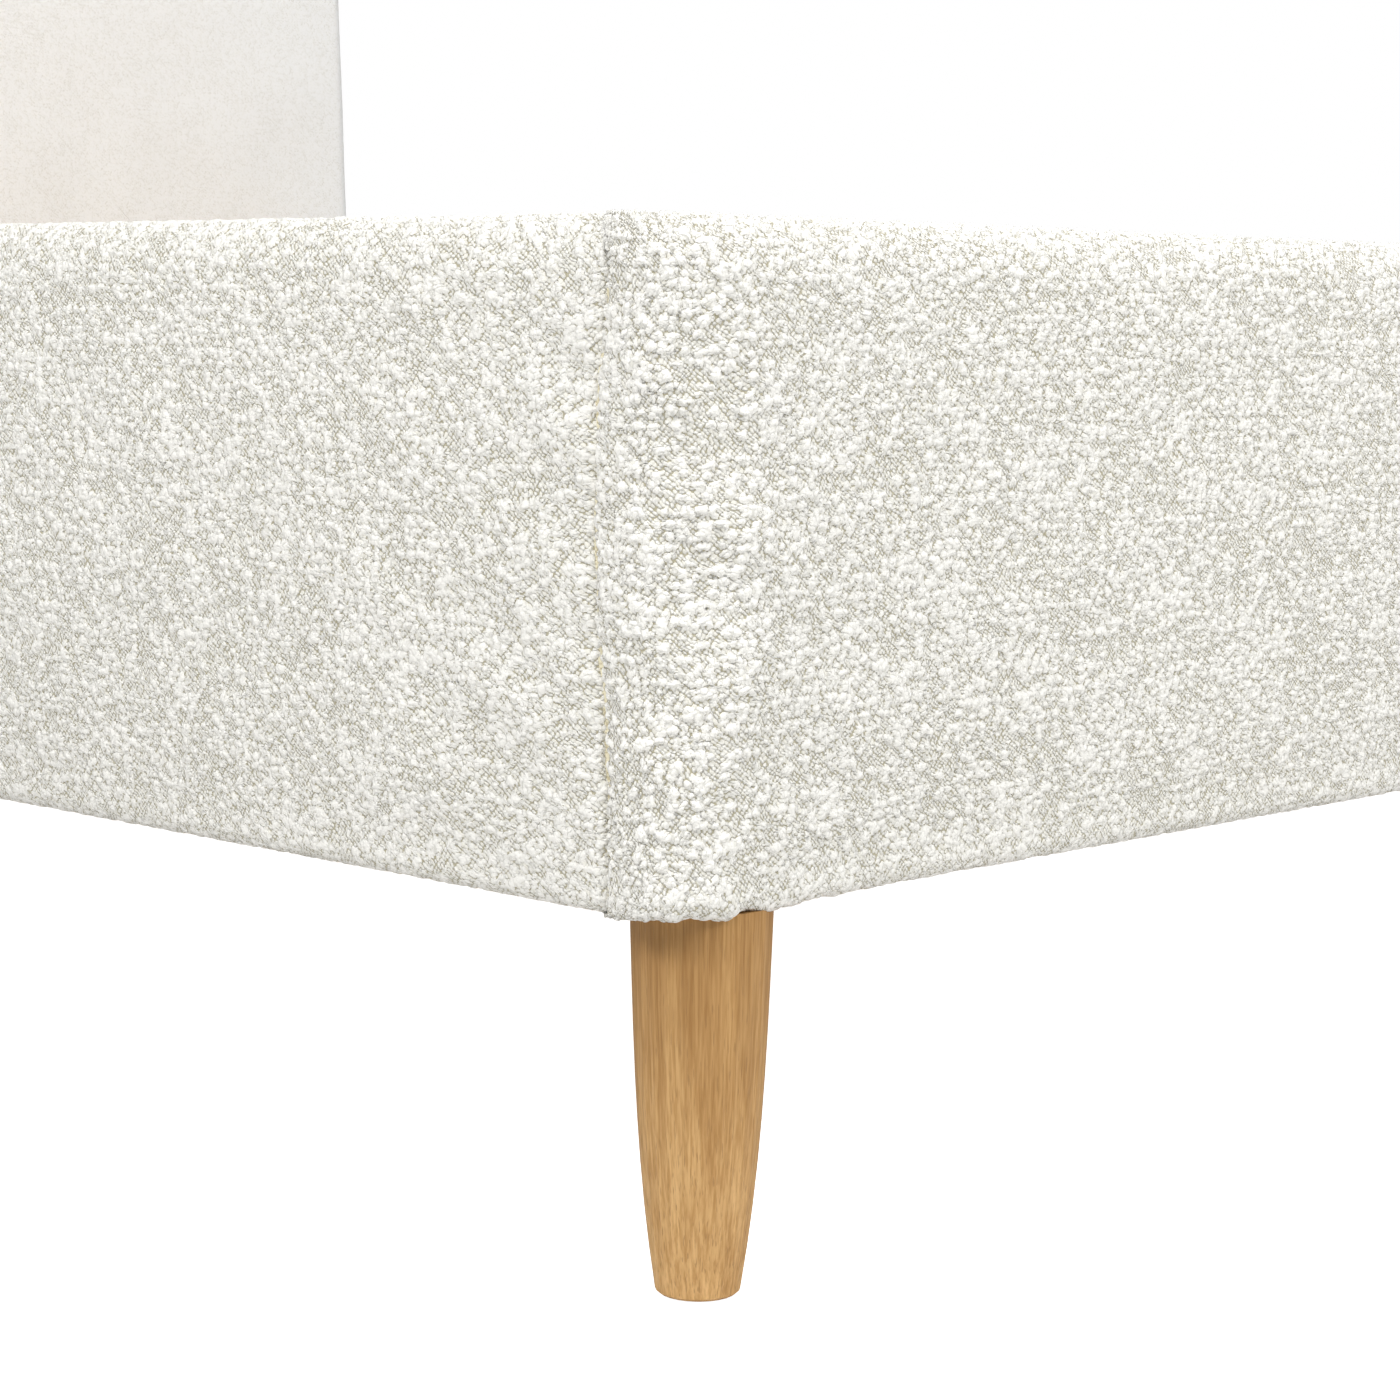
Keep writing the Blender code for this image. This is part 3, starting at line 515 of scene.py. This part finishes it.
def felt_material():
    """Black spun-bonded dust cloth, pressed with a grid of small welds."""
    made, tree, surface = shader("spunbond_dust_cloth")
    place = object_place(tree)
    split = parts_of(tree, place)
    across = maths(tree, "MULTIPLY", split[0], 2 * math.pi / WELD_STEP)
    up = maths(tree, "MULTIPLY", split[2], 2 * math.pi / WELD_STEP)
    welds = maths(tree, "MULTIPLY", maths(tree, "SINE", across), maths(tree, "SINE", up))
    weld = ramp(tree, welds, 0.35, 0.8)
    fibre = noise(tree, place, 900.0, 4.0, 0.7).outputs["Fac"]
    cloud = noise(tree, place, 12.0, 3.0, 0.6).outputs["Fac"]
    tone = blend_colour(tree, fibre, (0.018, 0.018, 0.019, 1), (0.060, 0.060, 0.062, 1))
    tone = tint(tree, tone, blend_colour(tree, cloud, (0.75, 0.75, 0.75, 1), (1, 1, 1, 1)))
    feed(tree, surface.inputs["Base Color"], tone)
    feed(tree, surface.inputs["Roughness"], ramp(tree, weld, 0.0, 1.0, 0.85, 0.45))
    relief = maths(tree, "SUBTRACT", maths(tree, "MULTIPLY", fibre, 0.8), weld)
    feed(tree, surface.inputs["Normal"], bump(tree, relief, 0.15 * MM, 0.8))
    return made


def finish_cad_nodes():
    """Gives every CAD node that stays its own finish, with the grain along each board."""
    cuts = [(axis, seed) for axis in (0, 1) for seed in (1, 2, 3)]
    pines = [pine_material(f"pine_{'xyz'[axis]}_{seed}", axis, 3.7 * seed) for axis, seed in cuts]
    oak, zinc, foam, plywood = oak_material(), zinc_material(), foam_material(), plywood_material()
    glide = nylon_material("nylon_natural", (0.70, 0.69, 0.66, 1), (0.80, 0.79, 0.76, 1))
    finishes = {"oak": oak, "zinc_steel": zinc, "foam": foam, "plywood": plywood, "nylon": glide}
    for number, (name, node) in enumerate(sorted(NODES.items())):
        kind = node.data.materials[0].name
        if kind == "pine":
            low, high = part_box(name)
            size = high - low
            axis = 0 if size.x > size.y else 1
            look = pines[3 * axis + number % 3]
        else:
            look = finishes.get(kind)
        if look:
            node.material_slots[0].material = look


# ---------------------------------------------------------------- paths and grids
class Path:
    """A plan or section line made of straight and round stretches, sampled by its length."""

    def __init__(self, start):
        self.points = [np.array(start, float)]

    def line(self, end, step=2 * MM):
        start, end = self.points[-1], np.array(end, float)
        count = max(1, math.ceil(np.linalg.norm(end - start) / step))
        self.points += [start + (end - start) * i / count for i in range(1, count + 1)]
        return self

    def arc(self, centre, end, step=0.3 * MM):
        """The shorter way round the centre to the end point."""
        centre, start, end = np.array(centre, float), self.points[-1], np.array(end, float)
        first = math.atan2(*(start - centre)[::-1])
        turn = math.atan2(*(end - centre)[::-1]) - first
        turn = (turn + math.pi) % (2 * math.pi) - math.pi
        radius = np.linalg.norm(start - centre)
        count = max(3, math.ceil(abs(turn) * radius / step))
        for i in range(1, count + 1):
            angle = first + turn * i / count
            self.points.append(centre + radius * np.array((math.cos(angle), math.sin(angle))))
        return self

    def lengths(self):
        steps = np.linalg.norm(np.diff(np.array(self.points), axis=0), axis=1)
        return np.concatenate([[0], np.cumsum(steps)])

    def total(self):
        return self.lengths()[-1]

    def at(self, where):
        along, points = self.lengths(), np.array(self.points)
        return np.stack([np.interp(where, along, points[:, k]) for k in range(2)], axis=1)


def graded(total, spacing):
    """Stations along a length, as far apart as spacing(position) says."""
    fine = np.linspace(0, total, 4000)
    rate = 1 / np.array([spacing(x) for x in fine])
    count = np.concatenate([[0], np.cumsum((rate[1:] + rate[:-1]) / 2 * np.diff(fine))])
    number = max(2, round(count[-1]))
    return np.interp(np.linspace(0, count[-1], number + 1), count, fine)


def smooth_step(x, low, high):
    t = np.clip((x - low) / (high - low), 0, 1)
    return t * t * (3 - 2 * t)


def grid_mesh(name, points, look):
    """A mesh from an array of points, rows by columns by 3."""
    rows, columns = points.shape[:2]
    mesh = bpy.data.meshes.new(name)
    mesh.vertices.add(rows * columns)
    mesh.vertices.foreach_set("co", points.reshape(-1).astype(np.float32))
    index = np.arange(rows * columns).reshape(rows, columns)
    corners = [index[:-1, :-1], index[:-1, 1:], index[1:, 1:], index[1:, :-1]]
    quads = np.stack(corners, axis=-1).reshape(-1, 4)
    mesh.loops.add(quads.size)
    mesh.loops.foreach_set("vertex_index", quads.reshape(-1))
    mesh.polygons.add(len(quads))
    mesh.polygons.foreach_set("loop_start", np.arange(0, quads.size, 4))
    mesh.polygons.foreach_set("use_smooth", np.ones(len(quads), bool))
    mesh.update(calc_edges=True)
    mesh.materials.append(look)
    obj = bpy.data.objects.new(name, mesh)
    bpy.context.scene.collection.objects.link(obj)
    return obj


def set_floats(mesh, name, values):
    made = mesh.attributes.new(name, "FLOAT", "POINT")
    made.data.foreach_set("value", values.reshape(-1).astype(np.float32))


def set_cloth(mesh, values):
    """The cloth's own coordinates in millimetres, which its pattern follows."""
    made = mesh.attributes.new("cloth", "FLOAT_VECTOR", "POINT")
    made.data.foreach_set("vector", values.reshape(-1).astype(np.float32))


def rail_section(depth, height, turned_in):
    """The cover's section as (inward, up): hem, inner face, underside, outer face, top, inner face, hem."""
    low, high, edge = 8 * MM, 20 * MM, 6 * MM
    hem = height - turned_in
    path = Path((depth - 2 * MM, turned_in - 3 * MM))
    path.arc((depth - 1.5 * MM, turned_in - 1.5 * MM), (depth, turned_in - 1.5 * MM))
    path.line((depth, edge)).arc((depth - edge, edge), (depth - edge, 0))
    path.line((low, 0)).arc((low, low), (0, low))
    path.line((0, height - high)).arc((high, height - high), (high, height))
    path.line((depth - edge, height)).arc((depth - edge, height - edge), (depth, height - edge))
    path.line((depth, hem + 1.5 * MM))
    path.arc((depth - 1.5 * MM, hem + 1.5 * MM), (depth - 2 * MM, hem + 3 * MM))
    return path


def foot_outline(half, depth, corner, seam):
    tuck = FOOT_TUCK
    path = Path((-half + tuck, depth)).line((-half + seam, depth))
    path.arc((-half + seam, depth - seam), (-half, depth - seam)).line((-half, corner))
    path.arc((-half + corner, corner), (-half + corner, 0)).line((half - corner, 0))
    path.arc((half - corner, corner), (half, corner)).line((half, depth - seam))
    path.arc((half - seam, depth - seam), (half - seam, depth)).line((half - tuck, depth))
    return path


def side_outline(half, depth, seam):
    end = depth * 0.6
    path = Path((-half, end)).line((-half, seam)).arc((-half + seam, seam), (-half + seam, 0))
    path.line((half - seam, 0)).arc((half - seam, seam), (half, seam)).line((half, end))
    return path


COVER_RETURN = 28 * MM
SEAM_RADIUS = 5 * MM
CORNER_RADIUS = 40 * MM
FOOT_TUCK = 10 * MM
LEG_STATION = 78 * MM
FACE_CROWN = 2.0 * MM
SEAM_DRIFT, SEAM_WAVE = 11.5 * MM, 3.5 * MM
FINE_STEP, PLAIN_STEP = 1.0 * MM, 3.5 * MM
COARSE_STEP = 9 * MM
FOOT_NUBS, SIDE_NUBS = 2.1, 1.6


def seam_drift(up):
    """How far the sewn joint at the bed's foot strays from the timber joint, towards the corner."""
    return SEAM_DRIFT - SEAM_WAVE * np.cos(2 * np.pi * (up / RAIL_HEIGHT - 0.58))


def face_share(up):
    """1 at mid height of a rail's outer face, 0 at its rounded edges."""
    t = np.clip((up / RAIL_HEIGHT - 0.5) / 0.5, -1, 1)
    return (1 - t * t) ** 0.8


def turned_down(up):
    """How far the tucked ends hang down instead of inward: 1 on the rail's top, 0 on its face."""
    return smooth_step(up, RAIL_HEIGHT - 24 * MM, RAIL_HEIGHT - 6 * MM)


def foot_plan(outer, up, half):
    """The foot rail's outline at one height: its ends shortened by the drift of the sewn joint."""
    outer = outer.copy()
    at_end = outer[:, 1] > RAIL_DEPTH - SEAM_RADIUS
    tucked = np.where(at_end, half - np.abs(outer[:, 0]), 0) * turned_down(up)
    end = smooth_step(np.abs(outer[:, 0]), half - 70 * MM, half - 15 * MM)
    outer[:, 1] *= 1 - end * seam_drift(up) / RAIL_DEPTH
    outer[:, 0] += np.sign(outer[:, 0]) * tucked
    return outer, tucked


def side_plan(outer, up, foot_end):
    """A side rail's outline at one height: drawn out at its foot end to meet the sewn joint."""
    outer = outer.copy()
    half = np.abs(outer[:, 0]).max()
    at_end = np.abs(outer[:, 0]) > half - SEAM_RADIUS
    tucked = np.where(at_end, outer[:, 1], 0) * turned_down(up)
    outer[:, 1] -= tucked
    reach = smooth_step(outer[:, 0] * foot_end, half - 110 * MM, half)
    outer[:, 0] += foot_end * reach * seam_drift(up)
    rake = smooth_step(-outer[:, 0] * foot_end, half - 60 * MM, half)
    outer[:, 0] -= foot_end * rake * up * math.tan(RAKE)
    return outer, np.minimum(tucked, 12 * MM)


def cover_points(outline, section, stations, heights, plan_at, corner, tuck):
    """The cover's points in the rail's own frame, one row for each station along the section."""
    outer = outline.at(stations)
    half = np.abs(outer[:, 0]).max()
    total = outline.total()
    ends = np.minimum(stations, total - stations)
    front = total / 2 - (half - corner)
    inset = tuck + (corner - tuck) * np.clip(ends / front, 0, 1)
    inner_x = np.where(ends < front, np.sign(outer[:, 0]) * (half - inset), outer[:, 0])
    inner = np.stack([inner_x, np.full(len(inner_x), RAIL_DEPTH)], axis=1)
    rows = []
    for inward, up in section.at(heights):
        drawn, drop = plan_at(outer, up)
        flat = drawn + (inner - drawn) * (inward / RAIL_DEPTH)
        rows.append(np.column_stack([flat, up - 0.8 * drop]))
    return np.array(rows)


def grid_normals(points):
    across = np.gradient(points, axis=1)
    along = np.gradient(points, axis=0)
    normal = np.cross(across, along)
    return normal / np.maximum(np.linalg.norm(normal, axis=2, keepdims=True), 1e-12)


def hills(x, y, seed, wavelength, count=24):
    """A smooth random field of about unit height: a seeded sum of waves."""
    rng = np.random.default_rng(seed)
    angle = rng.uniform(0, 2 * np.pi, count)
    pitch = 2 * np.pi / (wavelength * rng.uniform(0.7, 1.6, count))
    phase = rng.uniform(0, 2 * np.pi, count)
    waves = zip(angle, pitch, phase)
    field = sum(np.sin(p * (x * math.cos(a) + y * math.sin(a)) + f) for a, p, f in waves)
    return field / math.sqrt(count / 2)


def pad_shape(u, v, up, end_distance, seed):
    """How far the padding stands out from the plain form: crown, sewn dents, drag lines, unevenness."""
    crown = FACE_CROWN * face_share(up)
    near = 1 - smooth_step(end_distance, 0, 26 * MM)
    dent = -(1.6 * MM + 1.2 * MM * hills(0 * v, v, seed + 1, 60 * MM)) * near * face_share(up)
    slant = (u + 1.35 * v) / 1.68
    drag = hills(slant, 0.28 * (1.35 * u - v) / 1.68, seed + 2, 26 * MM)
    zone = smooth_step(end_distance, 8 * MM, 45 * MM) * (1 - smooth_step(end_distance, 60 * MM, 230 * MM))
    drag = 0.75 * MM * drag * zone * face_share(up)
    soft = 0.45 * MM * hills(u, v, seed + 3, 70 * MM) * face_share(up)
    return crown + dent + drag + soft


def hem_sag(u, v, up, inward, leg_at):
    """How far the lower edge hangs over the leg's shoulder, raggedly, near the leg's station."""
    near = np.exp(-(((u - leg_at) / (58 * MM)) ** 2))
    edge = (1 - smooth_step(up, 0, 16 * MM)) * (1 - smooth_step(inward, 6 * MM, 16 * MM))
    ragged = 1 + 0.45 * hills(u, 0 * v, 41, 14 * MM)
    return 1.8 * MM * near * edge * ragged


def swell(points, rim, pressure=4.0, frames=20, cap=3.5 * MM):
    """Blender's cloth, blown up a little under its own pressure with the rim held; its moves capped."""
    rows, columns = points.shape[:2]
    obj = grid_mesh("swelling", points, None)
    held = obj.vertex_groups.new(name="held")
    index = np.arange(rows * columns).reshape(rows, columns)
    held.add([int(i) for i in index[rim]], 1.0, "REPLACE")
    change = obj.modifiers.new("cloth", "CLOTH")
    settings = change.settings
    settings.quality = 6
    settings.mass = 0.3
    settings.tension_stiffness = 25
    settings.compression_stiffness = 25
    settings.shear_stiffness = 8
    settings.bending_stiffness = 1.5
    settings.use_pressure = True
    settings.uniform_pressure_force = pressure
    settings.effector_weights.gravity = 0
    settings.vertex_group_mass = "held"
    change.collision_settings.use_collision = False
    change.point_cache.frame_start = 1
    change.point_cache.frame_end = frames
    for number in range(1, frames + 1):
        bpy.context.scene.frame_set(number)
    settled = obj.evaluated_get(bpy.context.evaluated_depsgraph_get()).to_mesh()
    moved = np.empty(rows * columns * 3, np.float32)
    settled.vertices.foreach_get("co", moved)
    bpy.context.scene.frame_set(1)
    bpy.data.objects.remove(obj)
    move = moved.reshape(points.shape) - points
    far = np.linalg.norm(move, axis=2, keepdims=True)
    return move * np.minimum(1, cap / np.maximum(far, 1e-9))


def spread(field, from_rows, from_columns, rows, columns):
    """A coarse grid's field, resampled on a finer grid of the same cloth."""
    part = np.stack([np.interp(columns, from_columns, line) for line in field])
    return np.stack([np.interp(rows, from_rows, line) for line in part.T], axis=1)


def swell_of(outline, section, plan_at, corner, tuck):
    """The cloth simulation's move of one cover, as a function of the finer grid's stations."""
    stations = graded(outline.total(), lambda u: COARSE_STEP)
    heights = graded(section.total(), lambda v: COARSE_STEP)
    points = cover_points(outline, section, stations, heights, plan_at, corner, tuck)
    rim = np.zeros(points.shape[:2], bool)
    turned_in = (heights < COVER_RETURN) | (heights > section.total() - COVER_RETURN)
    rim[turned_in] = True
    rim[:, :2] = True
    rim[:, -2:] = True
    move = swell(points, rim)

    def finer(u, v):
        return np.stack([spread(move[:, :, k], heights, stations, v, u) for k in range(3)], axis=2)

    return finer


def build_cover(name, outline, place, plan_at, corner, tuck, spacing, height_step, nubs, seed, legs=()):
    """One rail's cover as a dense grid, with its cloth coordinates and how high its nubs stand."""
    section = rail_section(RAIL_DEPTH, RAIL_HEIGHT, COVER_RETURN)
    stations = graded(outline.total(), spacing)
    heights = graded(section.total(), height_step)
    points = cover_points(outline, section, stations, heights, plan_at, corner, tuck)
    out = grid_normals(points)
    u, v = np.meshgrid(stations, heights)
    up = points[:, :, 2]
    ends = np.minimum(u, outline.total() - u)
    lift = pad_shape(u, v, up, ends, int(seed))
    inward = section.at(heights)[:, 0][:, None]
    outer_share = 1 - smooth_step(inward, 24 * MM, 40 * MM)
    move = swell_of(outline, section, plan_at, corner, tuck)(stations, heights)
    away = smooth_step(ends, 14 * MM, 60 * MM)
    points = points + move * (face_share(up) * outer_share * away)[:, :, None]
    points = points + out * (lift * outer_share)[:, :, None]
    points[:, :, 2] -= sum(hem_sag(u, v, up, inward, at) for at in legs)
    obj = grid_mesh(name, points, BOUCLE)
    set_cloth(obj.data, np.stack([u * 1000 + seed, v * 1000, 0 * u], axis=2))
    gap = np.maximum(np.gradient(u, axis=1), np.gradient(v, axis=0))
    fine = 1 - smooth_step(gap, 1.6 * MM, 3.2 * MM)
    even = 0.35 + 0.65 * smooth_step(up, 2 * MM, 22 * MM)
    set_floats(obj.data, "nub_height", (0.35 + 0.65 * fine) * even * nubs * MM)
    set_floats(obj.data, "nub_bump", (1 - fine) * 0.8)
    obj.matrix_world = place
    raise_nubs(obj)
    return obj, (outline.total(), section.total())


def raise_nubs(obj):
    change = obj.modifiers.new("relief", "NODES")
    change.node_group = RELIEF
    made = bpy.data.meshes.new_from_object(obj.evaluated_get(bpy.context.evaluated_depsgraph_get()))
    obj.modifiers.clear()
    old = obj.data
    obj.data = made
    bpy.data.meshes.remove(old)
    made.transform(obj.matrix_world)
    obj.matrix_world = Matrix.Identity(4)


def seen_rows(v):
    """Row spacing: fine on the outer face and its edges, wider underneath and inside."""
    face = COVER_RETURN + RAIL_DEPTH
    return FINE_STEP if face - 34 * MM < v < face + RAIL_HEIGHT + 24 * MM else 2.5 * MM


def foot_cover():
    outline = foot_outline(HALF_WIDTH, RAIL_DEPTH, CORNER_RADIUS, SEAM_RADIUS)

    def columns(u):
        return FINE_STEP + (PLAIN_STEP - FINE_STEP) * float(smooth_step(u, 0.56, 0.70))

    return build_cover(
        "foot_rail_upholstery",
        outline,
        Matrix.Translation((0, FOOT_Y, RAIL_BOTTOM)),
        lambda outer, up: foot_plan(outer, up, HALF_WIDTH),
        CORNER_RADIUS,
        FOOT_TUCK,
        columns,
        seen_rows,
        FOOT_NUBS,
        0.0,
        (LEG_STATION, outline.total() - LEG_STATION),
    )


def side_cover(side):
    """side is -1 for the left rail, which the camera sees, and +1 for the right."""
    half = (SIDE_HIGH.y - RAIL_HEIGHT * math.tan(RAKE) - SIDE_LOW.y) / 2
    outline = side_outline(half, RAIL_DEPTH, SEAM_RADIUS)
    total = outline.total()
    place = Matrix.Translation((side * HALF_WIDTH, SIDE_LOW.y + half, RAIL_BOTTOM))
    place = place @ Matrix.Rotation(side * math.pi / 2, 4, "Z")

    def columns(u):
        return FINE_STEP + (PLAIN_STEP - FINE_STEP) * float(smooth_step(total - u, 0.48, 0.62))

    return build_cover(
        "side_rail_left_upholstery" if side < 0 else "side_rail_right_upholstery",
        outline,
        place,
        lambda outer, up: side_plan(outer, up, -side),
        SEAM_RADIUS,
        0.0,
        columns if side < 0 else lambda u: PLAIN_STEP,
        seen_rows if side < 0 else lambda v: 3 * MM,
        SIDE_NUBS,
        4000.0 if side < 0 else 8000.0,
    )


# ---------------------------------------------------------------- headboard cover
BOARD_EDGE = 20 * MM
BOARD_CORNER = 40 * MM
BOARD_CROWN = 5 * MM
BOARD_STEP = 7 * MM
BOARD_PATTERN_SHIFT = 12000
DUST_STAPLE_STEP, DUST_OVERLAP, DUST_STAND_OFF = 62 * MM, 20 * MM, 1.3 * MM


def board_outline(half, length, radius):
    """The headboard's outline as (x, up), round its outer face from the middle of its lower edge."""
    small = BOARD_EDGE
    path = Path((0, 0)).line((half - small, 0)).arc((half - small, small), (half, small))
    path.line((half, length - radius)).arc((half - radius, length - radius), (half - radius, length))
    path.line((-half + radius, length)).arc((-half + radius, length - radius), (-half, length - radius))
    path.line((-half, small)).arc((-half + small, small), (-half + small, 0)).line((0, 0))
    return path


def board_section(depth, turned_in):
    """From the hem on the back, round the side and the front edge, as (inset from the outline, back)."""
    edge = 5 * MM
    path = Path((turned_in - 3 * MM, depth - 2 * MM)).line((turned_in, depth)).line((edge, depth))
    path.arc((edge, depth - edge), (0, depth - edge)).line((0, BOARD_EDGE))
    path.arc((BOARD_EDGE, BOARD_EDGE), (BOARD_EDGE, 0))
    return path


def headboard_cover():
    """A cover made of rings round the outline: turned-in back, sides, and a front closing on the middle."""
    outline = board_outline(HALF_WIDTH, BOARD_LENGTH, BOARD_CORNER)
    section = board_section(BOARD_THICKNESS, COVER_RETURN)
    stations = graded(outline.total(), lambda u: BOARD_STEP)[:-1]
    edge_line = outline.at(stations)
    total = outline.total()
    along = outline.at((stations + MM) % total) - outline.at((stations - MM) % total)
    inward = np.stack([-along[:, 1], along[:, 0]], axis=1) / np.linalg.norm(along, axis=1)[:, None]
    depths = graded(section.total(), lambda v: 4 * MM)
    rings, cloth = [], []
    for (inset, back), run in zip(section.at(depths), depths - section.total()):
        flat = edge_line + inward * inset
        rings.append(np.column_stack([flat[:, 0], np.full(len(flat), back), flat[:, 1]]))
        cloth.append(edge_line + inward * (BOARD_EDGE + run))
    front = edge_line + inward * BOARD_EDGE
    middle = np.stack([front[:, 0] * 0.366, np.full(len(front), BOARD_LENGTH / 2)], axis=1)
    count = round(0.5 * BOARD_LENGTH / BOARD_STEP)
    for i in range(1, count + 1):
        flat = front + (middle - front) * (i / count) ** 0.97
        rings.append(np.column_stack([flat[:, 0], np.zeros(len(flat)), flat[:, 1]]))
        cloth.append(flat)
    points, cloth = np.array(rings), np.array(cloth)
    x, up = points[:, :, 0] / HALF_WIDTH, points[:, :, 2] / BOARD_LENGTH * 2 - 1
    crown = BOARD_CROWN * np.clip(1 - x**6, 0, 1) * np.clip(1 - up**6, 0, 1)
    soft = 0.6 * MM * hills(points[:, :, 0], points[:, :, 2], 11, 160 * MM)
    front_share = 1 - smooth_step(points[:, :, 1], 0, BOARD_EDGE)
    points[:, :, 1] -= (crown + soft) * front_share
    closed = np.concatenate([points, points[:, :1]], axis=1)
    cloth = np.concatenate([cloth, cloth[:, :1]], axis=1)
    obj = grid_mesh("headboard_upholstery", closed[:, ::-1], BOUCLE)
    across, up = cloth[:, ::-1, 0] * 1000, cloth[:, ::-1, 1] * 1000
    flat = np.stack([across + BOARD_PATTERN_SHIFT, up, 0 * up], axis=2)
    set_cloth(obj.data, flat)
    set_floats(obj.data, "nub_height", np.full(flat.shape[:2], 0.3 * MM))
    set_floats(obj.data, "nub_bump", np.full(flat.shape[:2], 0.55))
    set_floats(obj.data, "calm", np.full(flat.shape[:2], 0.6))
    low = BOARD_LOW.z + BOARD_THICKNESS * math.sin(RAKE)
    back = BOARD_HIGH.y - BOARD_LENGTH * math.sin(RAKE) - BOARD_THICKNESS * math.cos(RAKE)
    obj.matrix_world = Matrix.Translation((0, back, low)) @ Matrix.Rotation(-RAKE, 4, "X")
    raise_nubs(obj)
    weld(obj)
    margin = BOARD_THICKNESS + COVER_RETURN
    return obj, (2 * (HALF_WIDTH + margin), BOARD_LENGTH + 2 * margin)


def weld(obj):
    bm = bmesh.new()
    bm.from_mesh(obj.data)
    bmesh.ops.remove_doubles(bm, verts=bm.verts, dist=0.05 * MM)
    bm.to_mesh(obj.data)
    bm.free()


def dust_cover():
    """Spun-bonded cloth over the open back: a little slack, its edge scalloped between the staples."""
    low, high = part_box("headboard_dust_cover")
    half, length = high.x + DUST_OVERLAP, (high.z - low.z) / math.cos(RAKE) + 2 * DUST_OVERLAP
    x = np.linspace(-half, half, round(2 * half / (9 * MM)))
    z = np.linspace(0, length, round(length / (9 * MM)))
    x, z = np.meshgrid(x, z)
    edge = np.minimum(half - np.abs(x), np.minimum(z, length - z))
    rim = 1 - smooth_step(edge, 0, 22 * MM)
    run = np.where(half - np.abs(x) < np.minimum(z, length - z), z, x)
    pull = 2.2 * MM * rim * np.sin(np.pi * run / DUST_STAPLE_STEP) ** 2
    flat = np.stack([x * (1 - pull / half), z + pull * np.sign(length / 2 - z)], axis=2)
    slack = 0.7 * MM * np.maximum(hills(x, z, 71, 130 * MM) + 1, 0) * (1 - rim)
    points = np.stack([-flat[:, :, 0], DUST_STAND_OFF + slack, flat[:, :, 1] - DUST_OVERLAP], axis=2)
    obj = grid_mesh("headboard_dust_cloth", points, felt_material())
    back = high.y - (high.z - low.z) * math.tan(RAKE)
    obj.matrix_world = Matrix.Translation((0, back, low.z)) @ Matrix.Rotation(-RAKE, 4, "X")
    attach(obj, "bed_frame")
    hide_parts("headboard_dust_cover")


def covers():
    made = {
        "foot_rail": foot_cover(),
        "side_rail_left": side_cover(-1),
        "side_rail_right": side_cover(1),
        "headboard": headboard_cover(),
    }
    for name, (obj, flat) in made.items():
        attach(obj, "bed_frame")
        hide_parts(f"{name}_cover")


BOUCLE = boucle_material()
RELIEF = relief_group()


def floor():
    mesh = bpy.data.meshes.new("floor")
    bm = bmesh.new()
    bmesh.ops.create_grid(bm, x_segments=1, y_segments=1, size=20)
    bm.to_mesh(mesh)
    bm.free()
    made, tree, surface = shader("studio_floor")
    surface.inputs["Base Color"].default_value = (0.75, 0.75, 0.75, 1)
    surface.inputs["Roughness"].default_value = 0.8
    surface.inputs["Emission Color"].default_value = (1, 1, 1, 1)
    rays = tree.nodes.new("ShaderNodeLightPath")
    glow = maths(tree, "MULTIPLY", rays.outputs["Is Camera Ray"], FLOOR_GLOW)
    feed(tree, surface.inputs["Emission Strength"], glow)
    mesh.materials.append(made)
    obj = bpy.data.objects.new("floor", mesh)
    bpy.context.scene.collection.objects.link(obj)


camera()
studio()
floor()
finish_cad_nodes()
covers()
dust_cover()
